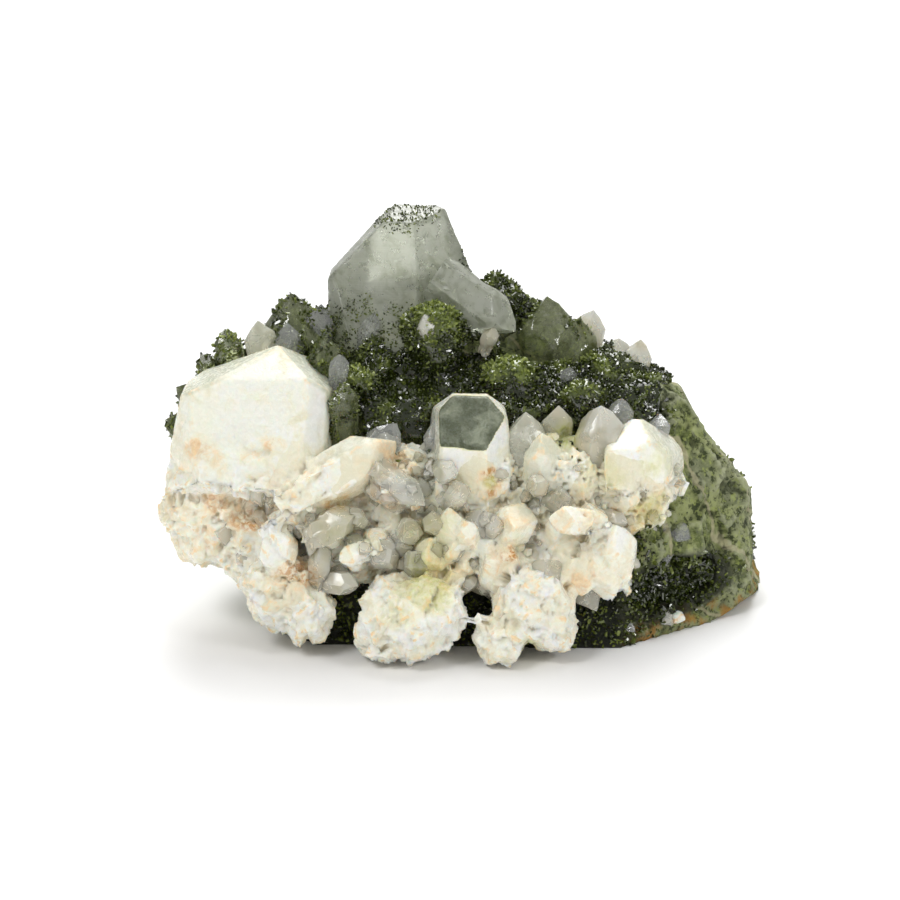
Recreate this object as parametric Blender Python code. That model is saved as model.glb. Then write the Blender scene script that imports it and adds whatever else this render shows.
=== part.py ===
"""An epidote and quartz cluster on its piece of green host rock, resting on the rock's flat underside.

Milky and clear quartz points grew out of the rock, and a crust of small epidote crystals covers the
slope between them. Metres, +Z up, the side that faces the viewer is -Y, and the origin is in the
middle of the face that the rock rests on.
"""
import math
import random
from collections import namedtuple

import bmesh
import bpy
from mathutils import Matrix, Vector, noise

MM = 0.001
GAP = 0.4 * MM  # left open between one mineral and the next
FLOOR_GAP = 0.4 * MM  # the quartz feet stop this far above the resting face
RHOMB_RISE = 38.2  # degrees that a rhombohedral face's normal stands above the prism's
ROOT_FLARE = 1.08  # a point is this much wider at its root
LARGE_FACE_SETBACK = (0.0, 0.08)  # of the radius, below the tip
SMALL_FACE_SETBACK = (0.15, 0.45)
FLATTENING = (0.78, 1.0)

Material = namedtuple("Material", "colour roughness")
HOST_ROCK = Material((0.21, 0.25, 0.12), 0.75)
MILKY_QUARTZ = Material((0.90, 0.88, 0.80), 0.40)
CLEAR_QUARTZ = Material((0.62, 0.66, 0.62), 0.15)
EPIDOTE = Material((0.07, 0.11, 0.02), 0.35)

# A broken face of the rock: a point on it in mm, and the azimuth and rise of its normal in degrees.
Fracture = namedtuple("Fracture", "x y z azimuth rise")
ROCK_FRACTURES = (
    Fracture(57.0, 0.0, 6.0, -10, 8),
    Fracture(54.5, 3.0, 22.6, 5, 34),
    Fracture(42.0, 9.0, 40.6, 12, 47),
    Fracture(44.0, -6.5, 24.0, -50, 24),
    Fracture(44.0, -12.5, 8.0, -57, 4),
    Fracture(55.5, -3.0, 1.6, -35, -48),
    Fracture(0.0, -20.0, 6.0, -92, 12),
    Fracture(0.0, -17.6, 14.0, -92, 22),
    Fracture(-30.0, -17.0, 8.0, -128, -6),
    Fracture(-37.0, 2.0, 12.0, 178, -22),
    Fracture(-45.5, 4.0, 35.0, 176, 42),
    Fracture(0.0, -10.0, 38.5, -90, 63),
    Fracture(-22.0, 0.0, 42.5, -140, 60),
    Fracture(-20.0, 22.0, 50.0, 130, 58),
    Fracture(6.0, 25.0, 50.6, 86, 52),
    Fracture(32.0, 8.0, 44.6, 20, 62),
    Fracture(4.0, 37.0, 22.0, 92, 10),
    Fracture(41.0, 27.0, 18.0, 42, 12),
    Fracture(24.0, 22.0, 45.5, 55, 55),
    Fracture(-33.0, 27.0, 18.0, 140, 4),
)
ROCK_EDGE = 9.5 * MM  # longest edge between two roughened points of the rock
ROCK_LUMP = 14.0 * MM
ROCK_ROUGHNESS = 1.3 * MM

# A step broken out of the rock: the middle of the missing piece in mm, its turn in plan and its lean
# in degrees, and its sizes in mm.
Step = namedtuple("Step", "x y z turn lean wide deep high")
ROCK_STEPS = (
    Step(-22.0, 42.0, 46.0, 8, 10, 70.0, 18.0, 34.0),
    Step(36.0, 43.5, 5.0, -14, -12, 56.0, 18.0, 30.0),
    Step(43.0, 29.5, 44.0, -48, 14, 60.0, 18.0, 34.0),
    Step(-36.5, 31.0, 12.0, 50, 8, 60.0, 18.0, 30.0),
)

# A pocket in the rock's front right, lined with dark epidote: its middle, half sizes and turn.
POCKET_MIDDLE = Vector((40.5, -14.0, 9.2)) * MM
POCKET_HALF = Vector((10.5, 5.5, 4.6)) * MM
POCKET_TURN = math.radians(32)
POCKET_CRUST = 1.8 * MM
WELD = 0.002 * MM

# A rough mass of quartz: its middle and half sizes in mm.
Lump = namedtuple("Lump", "x y z half_x half_y half_z")
FRONT_LUMPS = (
    Lump(-41.5, -10.0, 21.0, 12.0, 9.0, 11.0),
    Lump(-34.0, -14.0, 17.0, 9.0, 7.5, 8.0),
    Lump(-22.0, -13.0, 26.0, 10.0, 8.0, 9.0),
    Lump(-8.0, -13.0, 27.0, 11.0, 7.6, 9.0),
    Lump(6.0, -12.5, 28.0, 11.0, 7.6, 9.0),
    Lump(20.0, -12.0, 28.0, 11.0, 8.4, 10.0),
    Lump(32.0, -10.0, 27.0, 9.0, 8.4, 10.0),
    Lump(-20.0, -16.0, 16.0, 9.5, 6.6, 7.5),
    Lump(-7.0, -17.5, 18.0, 9.5, 6.0, 7.5),
    Lump(7.0, -17.5, 18.0, 9.5, 6.4, 8.0),
    Lump(20.0, -17.0, 17.0, 9.5, 6.4, 8.0),
    Lump(-29.0, -21.5, 10.8, 8.0, 6.6, 8.0),
    Lump(-25.5, -24.0, 8.0, 5.6, 5.0, 6.4),
    Lump(-32.5, -22.0, 13.4, 5.4, 5.4, 5.4),
    Lump(-7.0, -26.8, 8.0, 9.8, 7.4, 8.8),
    Lump(-12.5, -28.4, 5.4, 5.0, 5.0, 6.0),
    Lump(-1.0, -27.6, 9.4, 4.6, 5.6, 5.6),
    Lump(14.5, -25.4, 10.0, 7.8, 6.4, 7.8),
    Lump(9.0, -28.8, 4.8, 5.0, 4.8, 5.6),
    Lump(18.4, -26.6, 6.0, 5.0, 5.2, 5.0),
    Lump(5.6, -29.2, 8.4, 1.9, 1.9, 1.9),
)
LEFT_LUMPS = (
    Lump(-29.0, 6.0, 43.0, 9.0, 8.0, 10.0),
    Lump(-39.0, 4.0, 38.0, 9.0, 7.0, 9.0),
    Lump(-46.5, 2.0, 33.5, 6.0, 6.5, 8.0),
)
BACK_LUMPS = (
    Lump(4.0, 11.0, 49.0, 8.0, 6.0, 6.4),
    Lump(15.0, 9.5, 46.6, 9.0, 6.5, 4.6),
    Lump(24.5, 11.5, 46.4, 7.0, 6.5, 4.6),
)
RIGHT_LUMPS = (
    Lump(32.5, 5.0, 41.0, 7.0, 7.0, 5.0),
    Lump(37.5, 1.5, 36.5, 4.6, 5.6, 5.0),
)

# A quartz point: its tip in mm, its lean from upright and the azimuth that it leans toward in
# degrees, the width across its prism and its length in mm.
Point = namedtuple("Point", "x y z lean toward width length")
FRONT_POINTS = (
    # the row along the top of the front
    Point(13.2, -13.5, 43.4, 4, -85, 8.0, 20.0),
    Point(19.2, -11.5, 43.8, 8, -75, 6.2, 16.0),
    Point(16.4, -17.0, 40.4, 6, -100, 8.0, 22.0),
    Point(26.6, -13.5, 45.2, 3, -80, 9.4, 28.0),
    Point(30.8, -9.5, 44.4, 8, -40, 5.2, 16.0),
    Point(22.6, -17.5, 37.4, 10, -95, 8.4, 19.0),
    Point(-2.6, -12.5, 41.4, 10, 175, 6.6, 16.0),
    Point(-12.6, -13.0, 38.8, 8, -150, 7.0, 16.0),
    Point(-19.2, -11.6, 47.8, 6, -100, 5.8, 18.0),
    # the crystal that lies along the foot of the largest milky one
    Point(-8.0, -16.5, 38.6, 62, 12, 10.0, 26.0),
    Point(-8.6, -12.5, 40.8, 40, 20, 6.6, 14.0),
    # the middle of the front
    Point(-14.6, -22.6, 27.6, 64, 8, 7.4, 13.0),
    Point(-3.4, -23.4, 27.0, 122, -20, 7.2, 13.0),
    Point(-11.0, -22.0, 30.0, 72, -115, 4.2, 9.0),
    Point(-5.0, -20.5, 32.4, 40, -80, 5.8, 12.0),
    Point(0.2, -23.5, 29.0, 14, -95, 6.8, 17.0),
    Point(5.6, -23.6, 28.4, 24, -60, 5.6, 13.0),
    Point(11.2, -28.0, 25.6, 74, -92, 8.8, 13.0),
    Point(16.2, -26.0, 27.2, 76, -168, 5.4, 9.0),
    Point(25.0, -24.0, 28.4, 40, -90, 6.4, 13.0),
    Point(19.6, -22.0, 31.0, 48, -80, 6.4, 12.0),
    Point(29.4, -24.0, 25.6, 16, -88, 8.0, 15.0),
    Point(35.6, -17.5, 21.8, 78, -35, 5.0, 10.0),
    Point(6.0, -28.4, 19.4, 62, -115, 9.4, 14.0),
    Point(12.0, -27.4, 20.6, 64, -60, 5.2, 9.0),
    Point(16.8, -26.6, 20.4, 26, -95, 6.8, 13.0),
    Point(22.0, -25.6, 19.6, 36, -75, 6.4, 12.0),
    Point(28.6, -24.4, 9.0, 162, -60, 7.4, 15.0),
    Point(23.0, -25.4, 10.6, 158, -110, 5.0, 11.0),
    Point(26.6, -22.5, 6.4, 132, -50, 6.0, 12.0),
    Point(36.6, -14.5, 13.6, 164, -60, 4.2, 11.0),
    # below the largest milky crystal
    Point(-30.4, -24.0, 26.2, 60, -95, 5.4, 9.0),
    Point(-33.6, -25.0, 24.6, 30, -160, 6.8, 11.0),
    Point(-26.6, -26.4, 17.6, 138, -30, 5.6, 10.0),
    Point(-23.0, -25.0, 22.4, 12, -92, 5.2, 12.0),
    Point(-20.6, -26.4, 18.6, 104, -162, 4.4, 9.0),
    Point(-15.4, -25.6, 13.6, 92, -20, 4.8, 10.0),
    Point(-14.0, -25.4, 22.6, 46, -125, 6.2, 12.0),
    Point(-8.4, -25.8, 21.6, 66, -85, 6.8, 11.0),
    Point(-3.2, -25.5, 23.4, 26, -75, 5.8, 12.0),
    Point(-20.0, -19.5, 29.6, 50, -60, 6.0, 12.0),
    # the right end
    Point(33.6, -19.0, 28.4, 52, -70, 7.0, 12.0),
    Point(37.6, -15.5, 25.4, 66, -50, 6.4, 12.0),
    # the ragged lower left
    Point(-52.2, -12.0, 26.0, 66, -165, 8.0, 13.0),
    Point(-52.0, -8.0, 31.0, 60, 176, 7.4, 13.0),
    Point(-51.4, -13.0, 20.6, 88, -160, 7.0, 12.0),
    Point(-47.4, -15.6, 15.6, 116, -145, 6.6, 12.0),
    Point(-41.0, -19.0, 13.4, 118, -120, 5.6, 11.0),
    Point(-42.0, -21.0, 21.0, 84, -110, 6.6, 11.0),
    Point(-46.6, -18.0, 24.6, 74, -130, 6.0, 10.0),
    Point(-37.4, -21.8, 18.2, 96, -100, 5.4, 9.0),
)
LEFT_POINTS = (
    Point(-40.8, 2.0, 53.6, 8, 175, 5.6, 16.0),
    Point(-46.4, 3.0, 48.4, 34, 172, 7.6, 17.0),
    Point(-51.2, 2.5, 42.4, 50, 178, 7.6, 16.0),
    Point(-53.4, 0.5, 36.0, 66, -176, 8.0, 16.0),
    Point(-35.4, 1.5, 55.4, 12, 165, 6.6, 18.0),
    Point(-29.6, 6.0, 60.0, 6, -150, 14.0, 26.0),
    Point(-22.4, -3.0, 53.6, 12, -80, 6.4, 18.0),
    Point(-23.4, 7.0, 57.2, 14, 30, 7.0, 18.0),
    Point(-43.0, 9.0, 47.0, 30, 150, 7.0, 16.0),
    Point(-29.4, -0.5, 55.2, 4, -120, 5.2, 18.0),
)
BACK_POINTS = (
    Point(17.6, 9.5, 58.6, 3, -90, 11.4, 24.0),
    Point(23.6, 7.5, 54.6, 4, 10, 8.2, 18.0),
    Point(27.0, 13.5, 54.4, 16, 30, 8.0, 16.0),
    Point(13.4, 3.0, 50.4, 122, -16, 10.4, 20.0),
    Point(1.6, 9.0, 61.4, 34, 30, 8.0, 16.0),
    Point(9.6, 15.0, 58.6, 8, 80, 7.5, 16.0),
)
RIGHT_POINTS = (
    Point(31.4, 8.0, 50.2, 10, -60, 6.4, 15.0),
    Point(35.6, 8.5, 49.6, 16, 20, 6.0, 15.0),
    Point(35.4, 2.0, 46.4, 18, -40, 7.0, 15.0),
    Point(39.2, 0.5, 42.8, 24, -25, 6.4, 15.0),
    Point(29.6, 1.5, 47.8, 12, -90, 6.0, 14.0),
    Point(40.4, 6.5, 41.6, 34, 10, 6.0, 14.0),
)

# A crystal large enough to have each of its faces placed: a point on its axis in mm, the lean of
# the axis, the azimuth that it leans toward, and the width and length of the prism before its cuts.
Block = namedtuple("Block", "x y z lean toward width length")
LARGE_MILKY = Block(-35.0, -9.0, 39.0, 0, 0, 46.0, 32.0)
LARGE_MILKY_FACES = (
    Fracture(-33.0, -7.0, 51.2, 172, 66),
    Fracture(-29.5, -7.0, 51.4, 4, 52),
    Fracture(-33.0, -12.6, 49.0, -93, 25),
    Fracture(-33.0, -8.6, 51.2, -95, 55),
    Fracture(-32.0, -4.5, 51.2, 100, 50),
    Fracture(-47.8, -10.0, 45.0, 178, 12),
    Fracture(-46.0, -17.5, 36.0, -140, 14),
    Fracture(-20.8, -10.0, 40.0, -12, 2),
    Fracture(-24.5, -17.5, 36.0, -48, 16),
    Fracture(-34.0, 3.5, 34.0, 92, 2),
    Fracture(-46.0, 0.0, 34.0, 145, 4),
    Fracture(-34.0, -19.0, 27.0, -100, -42),
)
LARGE_CLEAR = Block(-9.0, 13.0, 56.0, 0, 0, 44.0, 36.0)
LARGE_CLEAR_FACES = (
    Fracture(-22.4, 10.0, 50.0, 176, 0),
    Fracture(-20.0, 5.4, 50.0, -140, 2),
    Fracture(-16.4, 11.0, 66.4, 178, 45),
    Fracture(-6.0, 12.0, 71.6, -100, 80),
    Fracture(1.9, 12.0, 66.8, -4, 26),
    Fracture(4.3, 11.0, 55.0, 0, 0),
    Fracture(-12.0, 5.6, 60.0, -98, 17),
    Fracture(-4.6, 7.2, 62.0, -48, 14),
    Fracture(-8.0, 21.0, 60.0, 84, 20),
    Fracture(-18.0, 18.0, 60.0, 135, 16),
    Fracture(1.0, 18.0, 60.0, 40, 18),
)
WINDOW_CRYSTAL = Block(4.2, -13.5, 32.0, 0, 0, 22.0, 26.0)
WINDOW_CRYSTAL_FACES = (
    Fracture(3.6, -16.0, 42.6, -92, 45),
    Fracture(-2.9, -14.0, 36.0, -172, 6),
    Fracture(3.0, -20.8, 32.0, -96, 4),
    Fracture(8.6, -19.0, 32.0, -42, 6),
    Fracture(11.2, -14.0, 32.0, 4, 6),
    Fracture(-1.4, -14.0, 43.4, 176, 46),
    Fracture(8.8, -14.0, 43.0, 2, 46),
    Fracture(4.0, -9.0, 42.0, 88, 40),
)
RIGHT_BLOCK = Block(32.5, -12.5, 33.0, 0, 0, 24.0, 17.0)
RIGHT_BLOCK_FACES = (
    Fracture(33.0, -14.0, 38.4, -84, 66),
    Fracture(32.0, -19.2, 32.0, -86, 12),
    Fracture(40.4, -12.0, 30.0, -22, 8),
    Fracture(38.6, -11.0, 35.4, -12, 42),
    Fracture(36.0, -17.0, 30.0, -54, 8),
    Fracture(27.0, -14.0, 32.0, 180, 4),
    Fracture(28.6, -14.0, 37.4, 172, 52),
    Fracture(33.0, -8.5, 38.0, 88, 45),
    Fracture(33.0, -17.0, 26.5, -88, -50),
)

# Small quartz points that fill the front between the ones above, grown by rule.
FILLERS = 24
FILLER_WIDTH = (3.4, 5.4)
FILLER_SPREAD_X = (-44.0, 36.0)
FILLER_SPREAD_Z = (13.0, 34.0)
FILLER_FACING = -90  # degrees, the azimuth of the front
FILLER_FAN = 0.9  # degrees that the azimuth turns for each mm to the right

# The epidote crust on the sloping top: it is the rock's skin made thicker, inside these limits,
# with mounds on it.
CRUST_COVER = 2.0
CRUST_RIPPLE = 2.2
CRUST_WAVE = 5.0
CRUST_LIMITS = (
    Fracture(0.0, -10.0, 31.0, 90, -63),
    Fracture(39.0, 0.0, 40.0, -15, 0),
    Fracture(0.0, 25.5, 50.0, 88, 0),
    Fracture(-43.0, 0.0, 40.0, 180, 0),
)
CRUST_MOUNDS = (
    Lump(-3.0, 1.0, 51.5, 7.0, 6.0, 7.0),
    Lump(3.5, 5.0, 54.5, 6.0, 5.0, 5.5),
    Lump(9.5, 15.0, 54.5, 5.5, 5.0, 5.5),
    Lump(11.0, -3.0, 45.0, 6.0, 5.0, 4.5),
    Lump(-14.0, 1.5, 46.5, 6.0, 5.0, 4.5),
    Lump(28.0, 3.0, 44.5, 6.0, 5.0, 4.6),
    Lump(33.0, -1.0, 41.5, 5.0, 5.0, 4.6),
    Lump(-26.0, 8.0, 48.0, 6.0, 6.0, 6.0),
    Lump(24.0, -7.0, 42.5, 5.0, 4.0, 4.0),
    Lump(-17.5, -5.0, 44.5, 5.0, 5.0, 4.6),
    Lump(-37.0, 7.0, 42.0, 6.0, 6.0, 6.0),
)

Cluster = namedtuple("Cluster", "seed lumps points blocks")


def clear_scene():
    for thing in list(bpy.data.objects):
        bpy.data.objects.remove(thing)


def collection(name):
    made = bpy.data.collections.new(name)
    bpy.context.scene.collection.children.link(made)
    return made


def object_from(bm, name, home):
    """Puts a bmesh in an object of its own, in that collection."""
    mesh = bpy.data.meshes.new(name)
    bm.to_mesh(mesh)
    bm.free()
    made = bpy.data.objects.new(name, mesh)
    home.objects.link(made)
    return made


def cutter_from(bm, name, home):
    made = object_from(bm, name, home)
    made.hide_render = True
    made.display_type = "WIRE"
    return made


def toward(azimuth, rise):
    """The direction at that azimuth and rise, in degrees."""
    a, r = math.radians(azimuth), math.radians(rise)
    return Vector((math.cos(a) * math.cos(r), math.sin(a) * math.cos(r), math.sin(r)))


def cleave(bm, place, normal):
    """Breaks off what lies past a plane, and closes the solid with the flat face that is left."""
    everything = bm.verts[:] + bm.edges[:] + bm.faces[:]
    cut = bmesh.ops.bisect_plane(bm, geom=everything, plane_co=place, plane_no=normal, clear_outer=True)
    rim = [item for item in cut["geom_cut"] if isinstance(item, bmesh.types.BMEdge)]
    if rim:
        bmesh.ops.edgeloop_fill(bm, edges=rim)


def cleave_all(bm, faces):
    for f in faces:
        cleave(bm, Vector((f.x, f.y, f.z)) * MM, toward(f.azimuth, f.rise))


def stop_above_floor(bm):
    if min(v.co.z for v in bm.verts) < FLOOR_GAP:
        cleave(bm, Vector((0, 0, FLOOR_GAP)), Vector((0, 0, -1)))


def swell(bm, amount):
    """Moves every point out along its normal, by amount at that point."""
    bm.normal_update()
    moves = [v.normal * amount(v.co) for v in bm.verts]
    for v, move in zip(bm.verts, moves):
        v.co += move


def split_long_edges(bm, longest):
    """Triangulates, and halves edges until none is longer than this."""
    bmesh.ops.triangulate(bm, faces=bm.faces[:])
    long_edges = [e for e in bm.edges if e.calc_length() > longest]
    while long_edges:
        bmesh.ops.subdivide_edges(bm, edges=long_edges, cuts=1)
        bmesh.ops.triangulate(bm, faces=bm.faces[:])
        long_edges = [e for e in bm.edges if e.calc_length() > longest]


def rock_roughness(place):
    """How far the broken rock stands out or in at a place; its resting face stays flat."""
    if place.z < 0.5 * MM:
        return 0.0
    coarse, fine = noise.noise(place / ROCK_LUMP), noise.noise(place * 2.7 / ROCK_LUMP)
    return (coarse + 0.45 * fine) * ROCK_ROUGHNESS


def rock_body():
    """A block broken along its fractures and roughened."""
    bm = bmesh.new()
    bmesh.ops.create_cube(bm, size=200 * MM)
    cleave(bm, Vector((0, 0, 0)), Vector((0, 0, -1)))
    cleave_all(bm, ROCK_FRACTURES)
    split_long_edges(bm, ROCK_EDGE)
    swell(bm, rock_roughness)
    for v in bm.verts:
        v.co.z = max(v.co.z, 0.0)
    return bm


def missing_step(step):
    """The rough slab that broke away and left a ledge."""
    bm = bmesh.new()
    bmesh.ops.create_cube(bm, size=1.0)
    bmesh.ops.scale(bm, vec=Vector((step.wide, step.deep, step.high)) * MM, verts=bm.verts)
    split_long_edges(bm, ROCK_EDGE)
    turn = Matrix.Rotation(math.radians(step.turn), 4, "Z") @ Matrix.Rotation(math.radians(step.lean), 4, "X")
    place = Matrix.Translation(Vector((step.x, step.y, step.z)) * MM)
    bmesh.ops.transform(bm, matrix=place @ turn, verts=bm.verts)
    swell(bm, rock_roughness)
    return bm


def pocket(half, shift=0.0):
    """A rounded hollow in the rock, moved out of it by shift."""
    bm = bmesh.new()
    bmesh.ops.create_icosphere(bm, subdivisions=3, radius=1.0)
    turn = Matrix.Rotation(POCKET_TURN, 4, "Z")
    out = turn @ Vector((0, -shift, 0))
    place = Matrix.Translation(POCKET_MIDDLE + out) @ turn @ Matrix.Diagonal((*half, 1))
    bmesh.ops.transform(bm, matrix=place, verts=bm.verts)
    return bm


def lump_body(lump, seed):
    """A rough rounded mass, faceted like broken quartz."""
    bm = bmesh.new()
    bmesh.ops.create_icosphere(bm, subdivisions=2, radius=1.0)
    offset = Vector((seed * 3.1, seed * 1.7, seed * 5.3))
    middle = Vector((lump.x, lump.y, lump.z))
    for v in bm.verts:
        v.co *= 1 + 0.22 * noise.noise(v.co * 1.6 + offset)
        v.co = (middle + v.co * Vector((lump.half_x, lump.half_y, lump.half_z))) * MM
    stop_above_floor(bm)
    return bm


def upright_to(thing, twist=0.0):
    """The move that takes an upright crystal at the origin to its place and lean."""
    lean = math.radians(thing.lean)
    axis = toward(thing.toward, 0) * math.sin(lean) + Vector((0, 0, math.cos(lean)))
    tilt = Vector((0, 0, 1)).rotation_difference(axis).to_matrix().to_4x4()
    place = Matrix.Translation(Vector((thing.x, thing.y, thing.z)) * MM)
    return place @ tilt @ Matrix.Rotation(math.radians(twist), 4, "Z")


def quartz_point(point, seed):
    """A six-sided prism under six rhombohedral faces, three of them larger, as quartz has."""
    rng = random.Random(seed)
    radius, length = point.width * MM / 2, point.length * MM
    bm = bmesh.new()
    bmesh.ops.create_cone(
        bm, cap_ends=True, segments=6, radius1=radius * ROOT_FLARE, radius2=radius, depth=length + radius
    )
    bmesh.ops.translate(bm, verts=bm.verts, vec=(0, 0, (radius - length) / 2))
    for k in range(6):
        setback = radius * (rng.uniform(*LARGE_FACE_SETBACK) if k % 2 else rng.uniform(*SMALL_FACE_SETBACK))
        cleave(bm, Vector((0, 0, -setback)), toward(30 + 60 * k, RHOMB_RISE))
    bmesh.ops.scale(bm, vec=(1, rng.uniform(*FLATTENING), 1), verts=bm.verts)
    bmesh.ops.transform(bm, matrix=upright_to(point, seed * 47 % 60), verts=bm.verts)
    stop_above_floor(bm)
    return bm


def block_body(block, faces):
    """A crystal large enough to have each of its faces placed on its own."""
    bm = bmesh.new()
    radius = block.width * MM / 2
    bmesh.ops.create_cone(
        bm, cap_ends=True, segments=6, radius1=radius, radius2=radius, depth=block.length * MM
    )
    bmesh.ops.transform(bm, matrix=upright_to(block), verts=bm.verts)
    cleave_all(bm, faces)
    return bm


def filler_points():
    """Small points set over the front of the cluster, leaning outwards."""
    rng = random.Random(11)
    found = []
    for _ in range(FILLERS):
        x, z = rng.uniform(*FILLER_SPREAD_X), rng.uniform(*FILLER_SPREAD_Z)
        bulge = 1 - ((x + 2) / 62) ** 2 - ((z - 20) / 46) ** 2
        y = -8.0 - 18.5 * bulge
        width = rng.uniform(*FILLER_WIDTH)
        away = FILLER_FACING + x * FILLER_FAN + rng.uniform(-25, 25)
        found.append(Point(x, y, z, rng.uniform(30, 95), away, width, width * 2.2))
    return tuple(found)


def crust_skin():
    """The rock's own skin over its sloping top, thickened unevenly."""
    bm = rock_body()
    swell(bm, lambda place: (CRUST_COVER + CRUST_RIPPLE * noise.noise(place / (CRUST_WAVE * MM))) * MM)
    cleave_all(bm, CRUST_LIMITS)
    return bm


def solids_of(cluster, grow=0.0):
    """Every solid of a cluster, a little larger where it is to cut room for itself in another."""
    made = [lump_body(lump, cluster.seed + i) for i, lump in enumerate(cluster.lumps)]
    made += [quartz_point(point, cluster.seed + i) for i, point in enumerate(cluster.points)]
    made += [block_body(block, faces) for block, faces in cluster.blocks]
    for bm in made:
        swell(bm, lambda place: grow)
    return made


def take_result(thing):
    """Keeps what the modifiers of an object make as its own mesh."""
    graph = bpy.context.evaluated_depsgraph_get()
    mesh = bpy.data.meshes.new_from_object(thing.evaluated_get(graph), depsgraph=graph)
    thing.modifiers.clear()
    thing.data = mesh


def fuse(name, solids, home):
    """Joins overlapping solids in one object with an exact union."""
    whole = object_from(solids[0], name, home)
    others = collection(name + "_members")
    for bm in solids[1:]:
        object_from(bm, name + "_member", others)
    union = whole.modifiers.new("fuse", "BOOLEAN")
    union.operation = "UNION"
    union.solver = "EXACT"
    union.operand_type = "COLLECTION"
    union.collection = others
    take_result(whole)
    for member in list(others.objects):
        bpy.data.objects.remove(member)
    bpy.data.collections.remove(others)
    return whole


def cut_away(thing, cutters):
    """Takes each cutter out of the solid, and drops the chips that come loose."""
    for cutter in cutters:
        cut = thing.modifiers.new("cut", "BOOLEAN")
        cut.operation = "DIFFERENCE"
        cut.solver = "EXACT"
        cut.use_self = True
        cut.object = cutter
        take_result(thing)
    keep_main_body(thing)


def bodies_of(bm):
    """The sets of faces that meet along an edge which only two faces share."""
    left, found = set(bm.faces), []
    while left:
        front = [left.pop()]
        body = list(front)
        while front:
            shared = [e for e in front.pop().edges if len(e.link_faces) == 2]
            touching = {f for e in shared for f in e.link_faces} & left
            left -= touching
            front += touching
            body += touching
        found.append(body)
    return found


def keep_main_body(thing):
    """Welds what the cuts left split, and drops every body but the largest."""
    bm = bmesh.new()
    bm.from_mesh(thing.data)
    bmesh.ops.remove_doubles(bm, verts=bm.verts[:], dist=WELD)
    bmesh.ops.dissolve_degenerate(bm, edges=bm.edges[:], dist=WELD)
    bodies = sorted(bodies_of(bm), key=lambda faces: sum(f.calc_area() for f in faces))
    for body in bodies[:-1]:
        bmesh.ops.delete(bm, geom=body, context="FACES")
    loose = [v for v in bm.verts if not v.link_faces]
    bmesh.ops.delete(bm, geom=loose, context="VERTS")
    bm.to_mesh(thing.data)
    bm.free()


def colour(thing, material):
    """Gives a node a material of its own."""
    made = bpy.data.materials.new(thing.name)
    made.use_nodes = True
    shader = made.node_tree.nodes["Principled BSDF"]
    shader.inputs["Base Color"].default_value = (*material.colour, 1)
    shader.inputs["Roughness"].default_value = material.roughness
    thing.data.materials.clear()
    thing.data.materials.append(made)


def room_of_rock(cutters):
    bm = rock_body()
    swell(bm, lambda place: GAP)
    return cutter_from(bm, "rock_room", cutters)


def room_of(name, cluster, cutters):
    """A cluster's own shape, larger by the gap, to cut its neighbours with."""
    room = fuse(name + "_room", solids_of(cluster, GAP), cutters)
    room.hide_render = True
    room.display_type = "WIRE"
    return room


def build():
    clear_scene()
    home = collection("epidote_quartz_cluster")
    cutters = collection("cutters")

    rock = object_from(rock_body(), "host_rock", home)
    missing = [cutter_from(missing_step(step), "missing_step", cutters) for step in ROCK_STEPS]
    cut_away(rock, missing + [cutter_from(pocket(POCKET_HALF), "pocket_cutter", cutters)])
    colour(rock, HOST_ROCK)

    # Each cluster clears the rock and the clusters before it.
    rooms = [room_of_rock(cutters)]
    for name, cluster, material in CLUSTERS:
        quartz = fuse(name, solids_of(cluster), home)
        cut_away(quartz, rooms)
        colour(quartz, material)
        rooms.append(room_of(name, cluster, cutters))

    crust = fuse("epidote_crust", [crust_skin()] + solids_of(MOUNDS), home)
    cut_away(crust, rooms)
    colour(crust, EPIDOTE)

    lining = object_from(pocket(POCKET_HALF - Vector((GAP, GAP, GAP))), "pocket_epidote", home)
    inside = cutter_from(pocket(POCKET_HALF, POCKET_CRUST), "pocket_inside", cutters)
    cut_away(lining, [inside, rooms[1]])
    colour(lining, EPIDOTE)


FRONT = Cluster(
    100,
    FRONT_LUMPS,
    FRONT_POINTS + filler_points(),
    (
        (LARGE_MILKY, LARGE_MILKY_FACES),
        (WINDOW_CRYSTAL, WINDOW_CRYSTAL_FACES),
        (RIGHT_BLOCK, RIGHT_BLOCK_FACES),
    ),
)
TOP = Cluster(200, (), (), ((LARGE_CLEAR, LARGE_CLEAR_FACES),))
LEFT = Cluster(300, LEFT_LUMPS, LEFT_POINTS, ())
BACK = Cluster(400, BACK_LUMPS, BACK_POINTS, ())
RIGHT = Cluster(500, RIGHT_LUMPS, RIGHT_POINTS, ())
MOUNDS = Cluster(600, CRUST_MOUNDS, (), ())
CLUSTERS = (
    ("milky_quartz_front", FRONT, MILKY_QUARTZ),
    ("large_clear_quartz", TOP, CLEAR_QUARTZ),
    ("left_quartz_points", LEFT, CLEAR_QUARTZ),
    ("back_quartz_points", BACK, CLEAR_QUARTZ),
    ("right_quartz_points", RIGHT, CLEAR_QUARTZ),
)

build()
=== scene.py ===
"""The finished look of an epidote and quartz cluster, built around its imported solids."""

import math
import random
from collections import namedtuple

import bmesh
import bpy
import numpy as np
from mathutils import Matrix, Vector, noise
from mathutils.kdtree import KDTree


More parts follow.
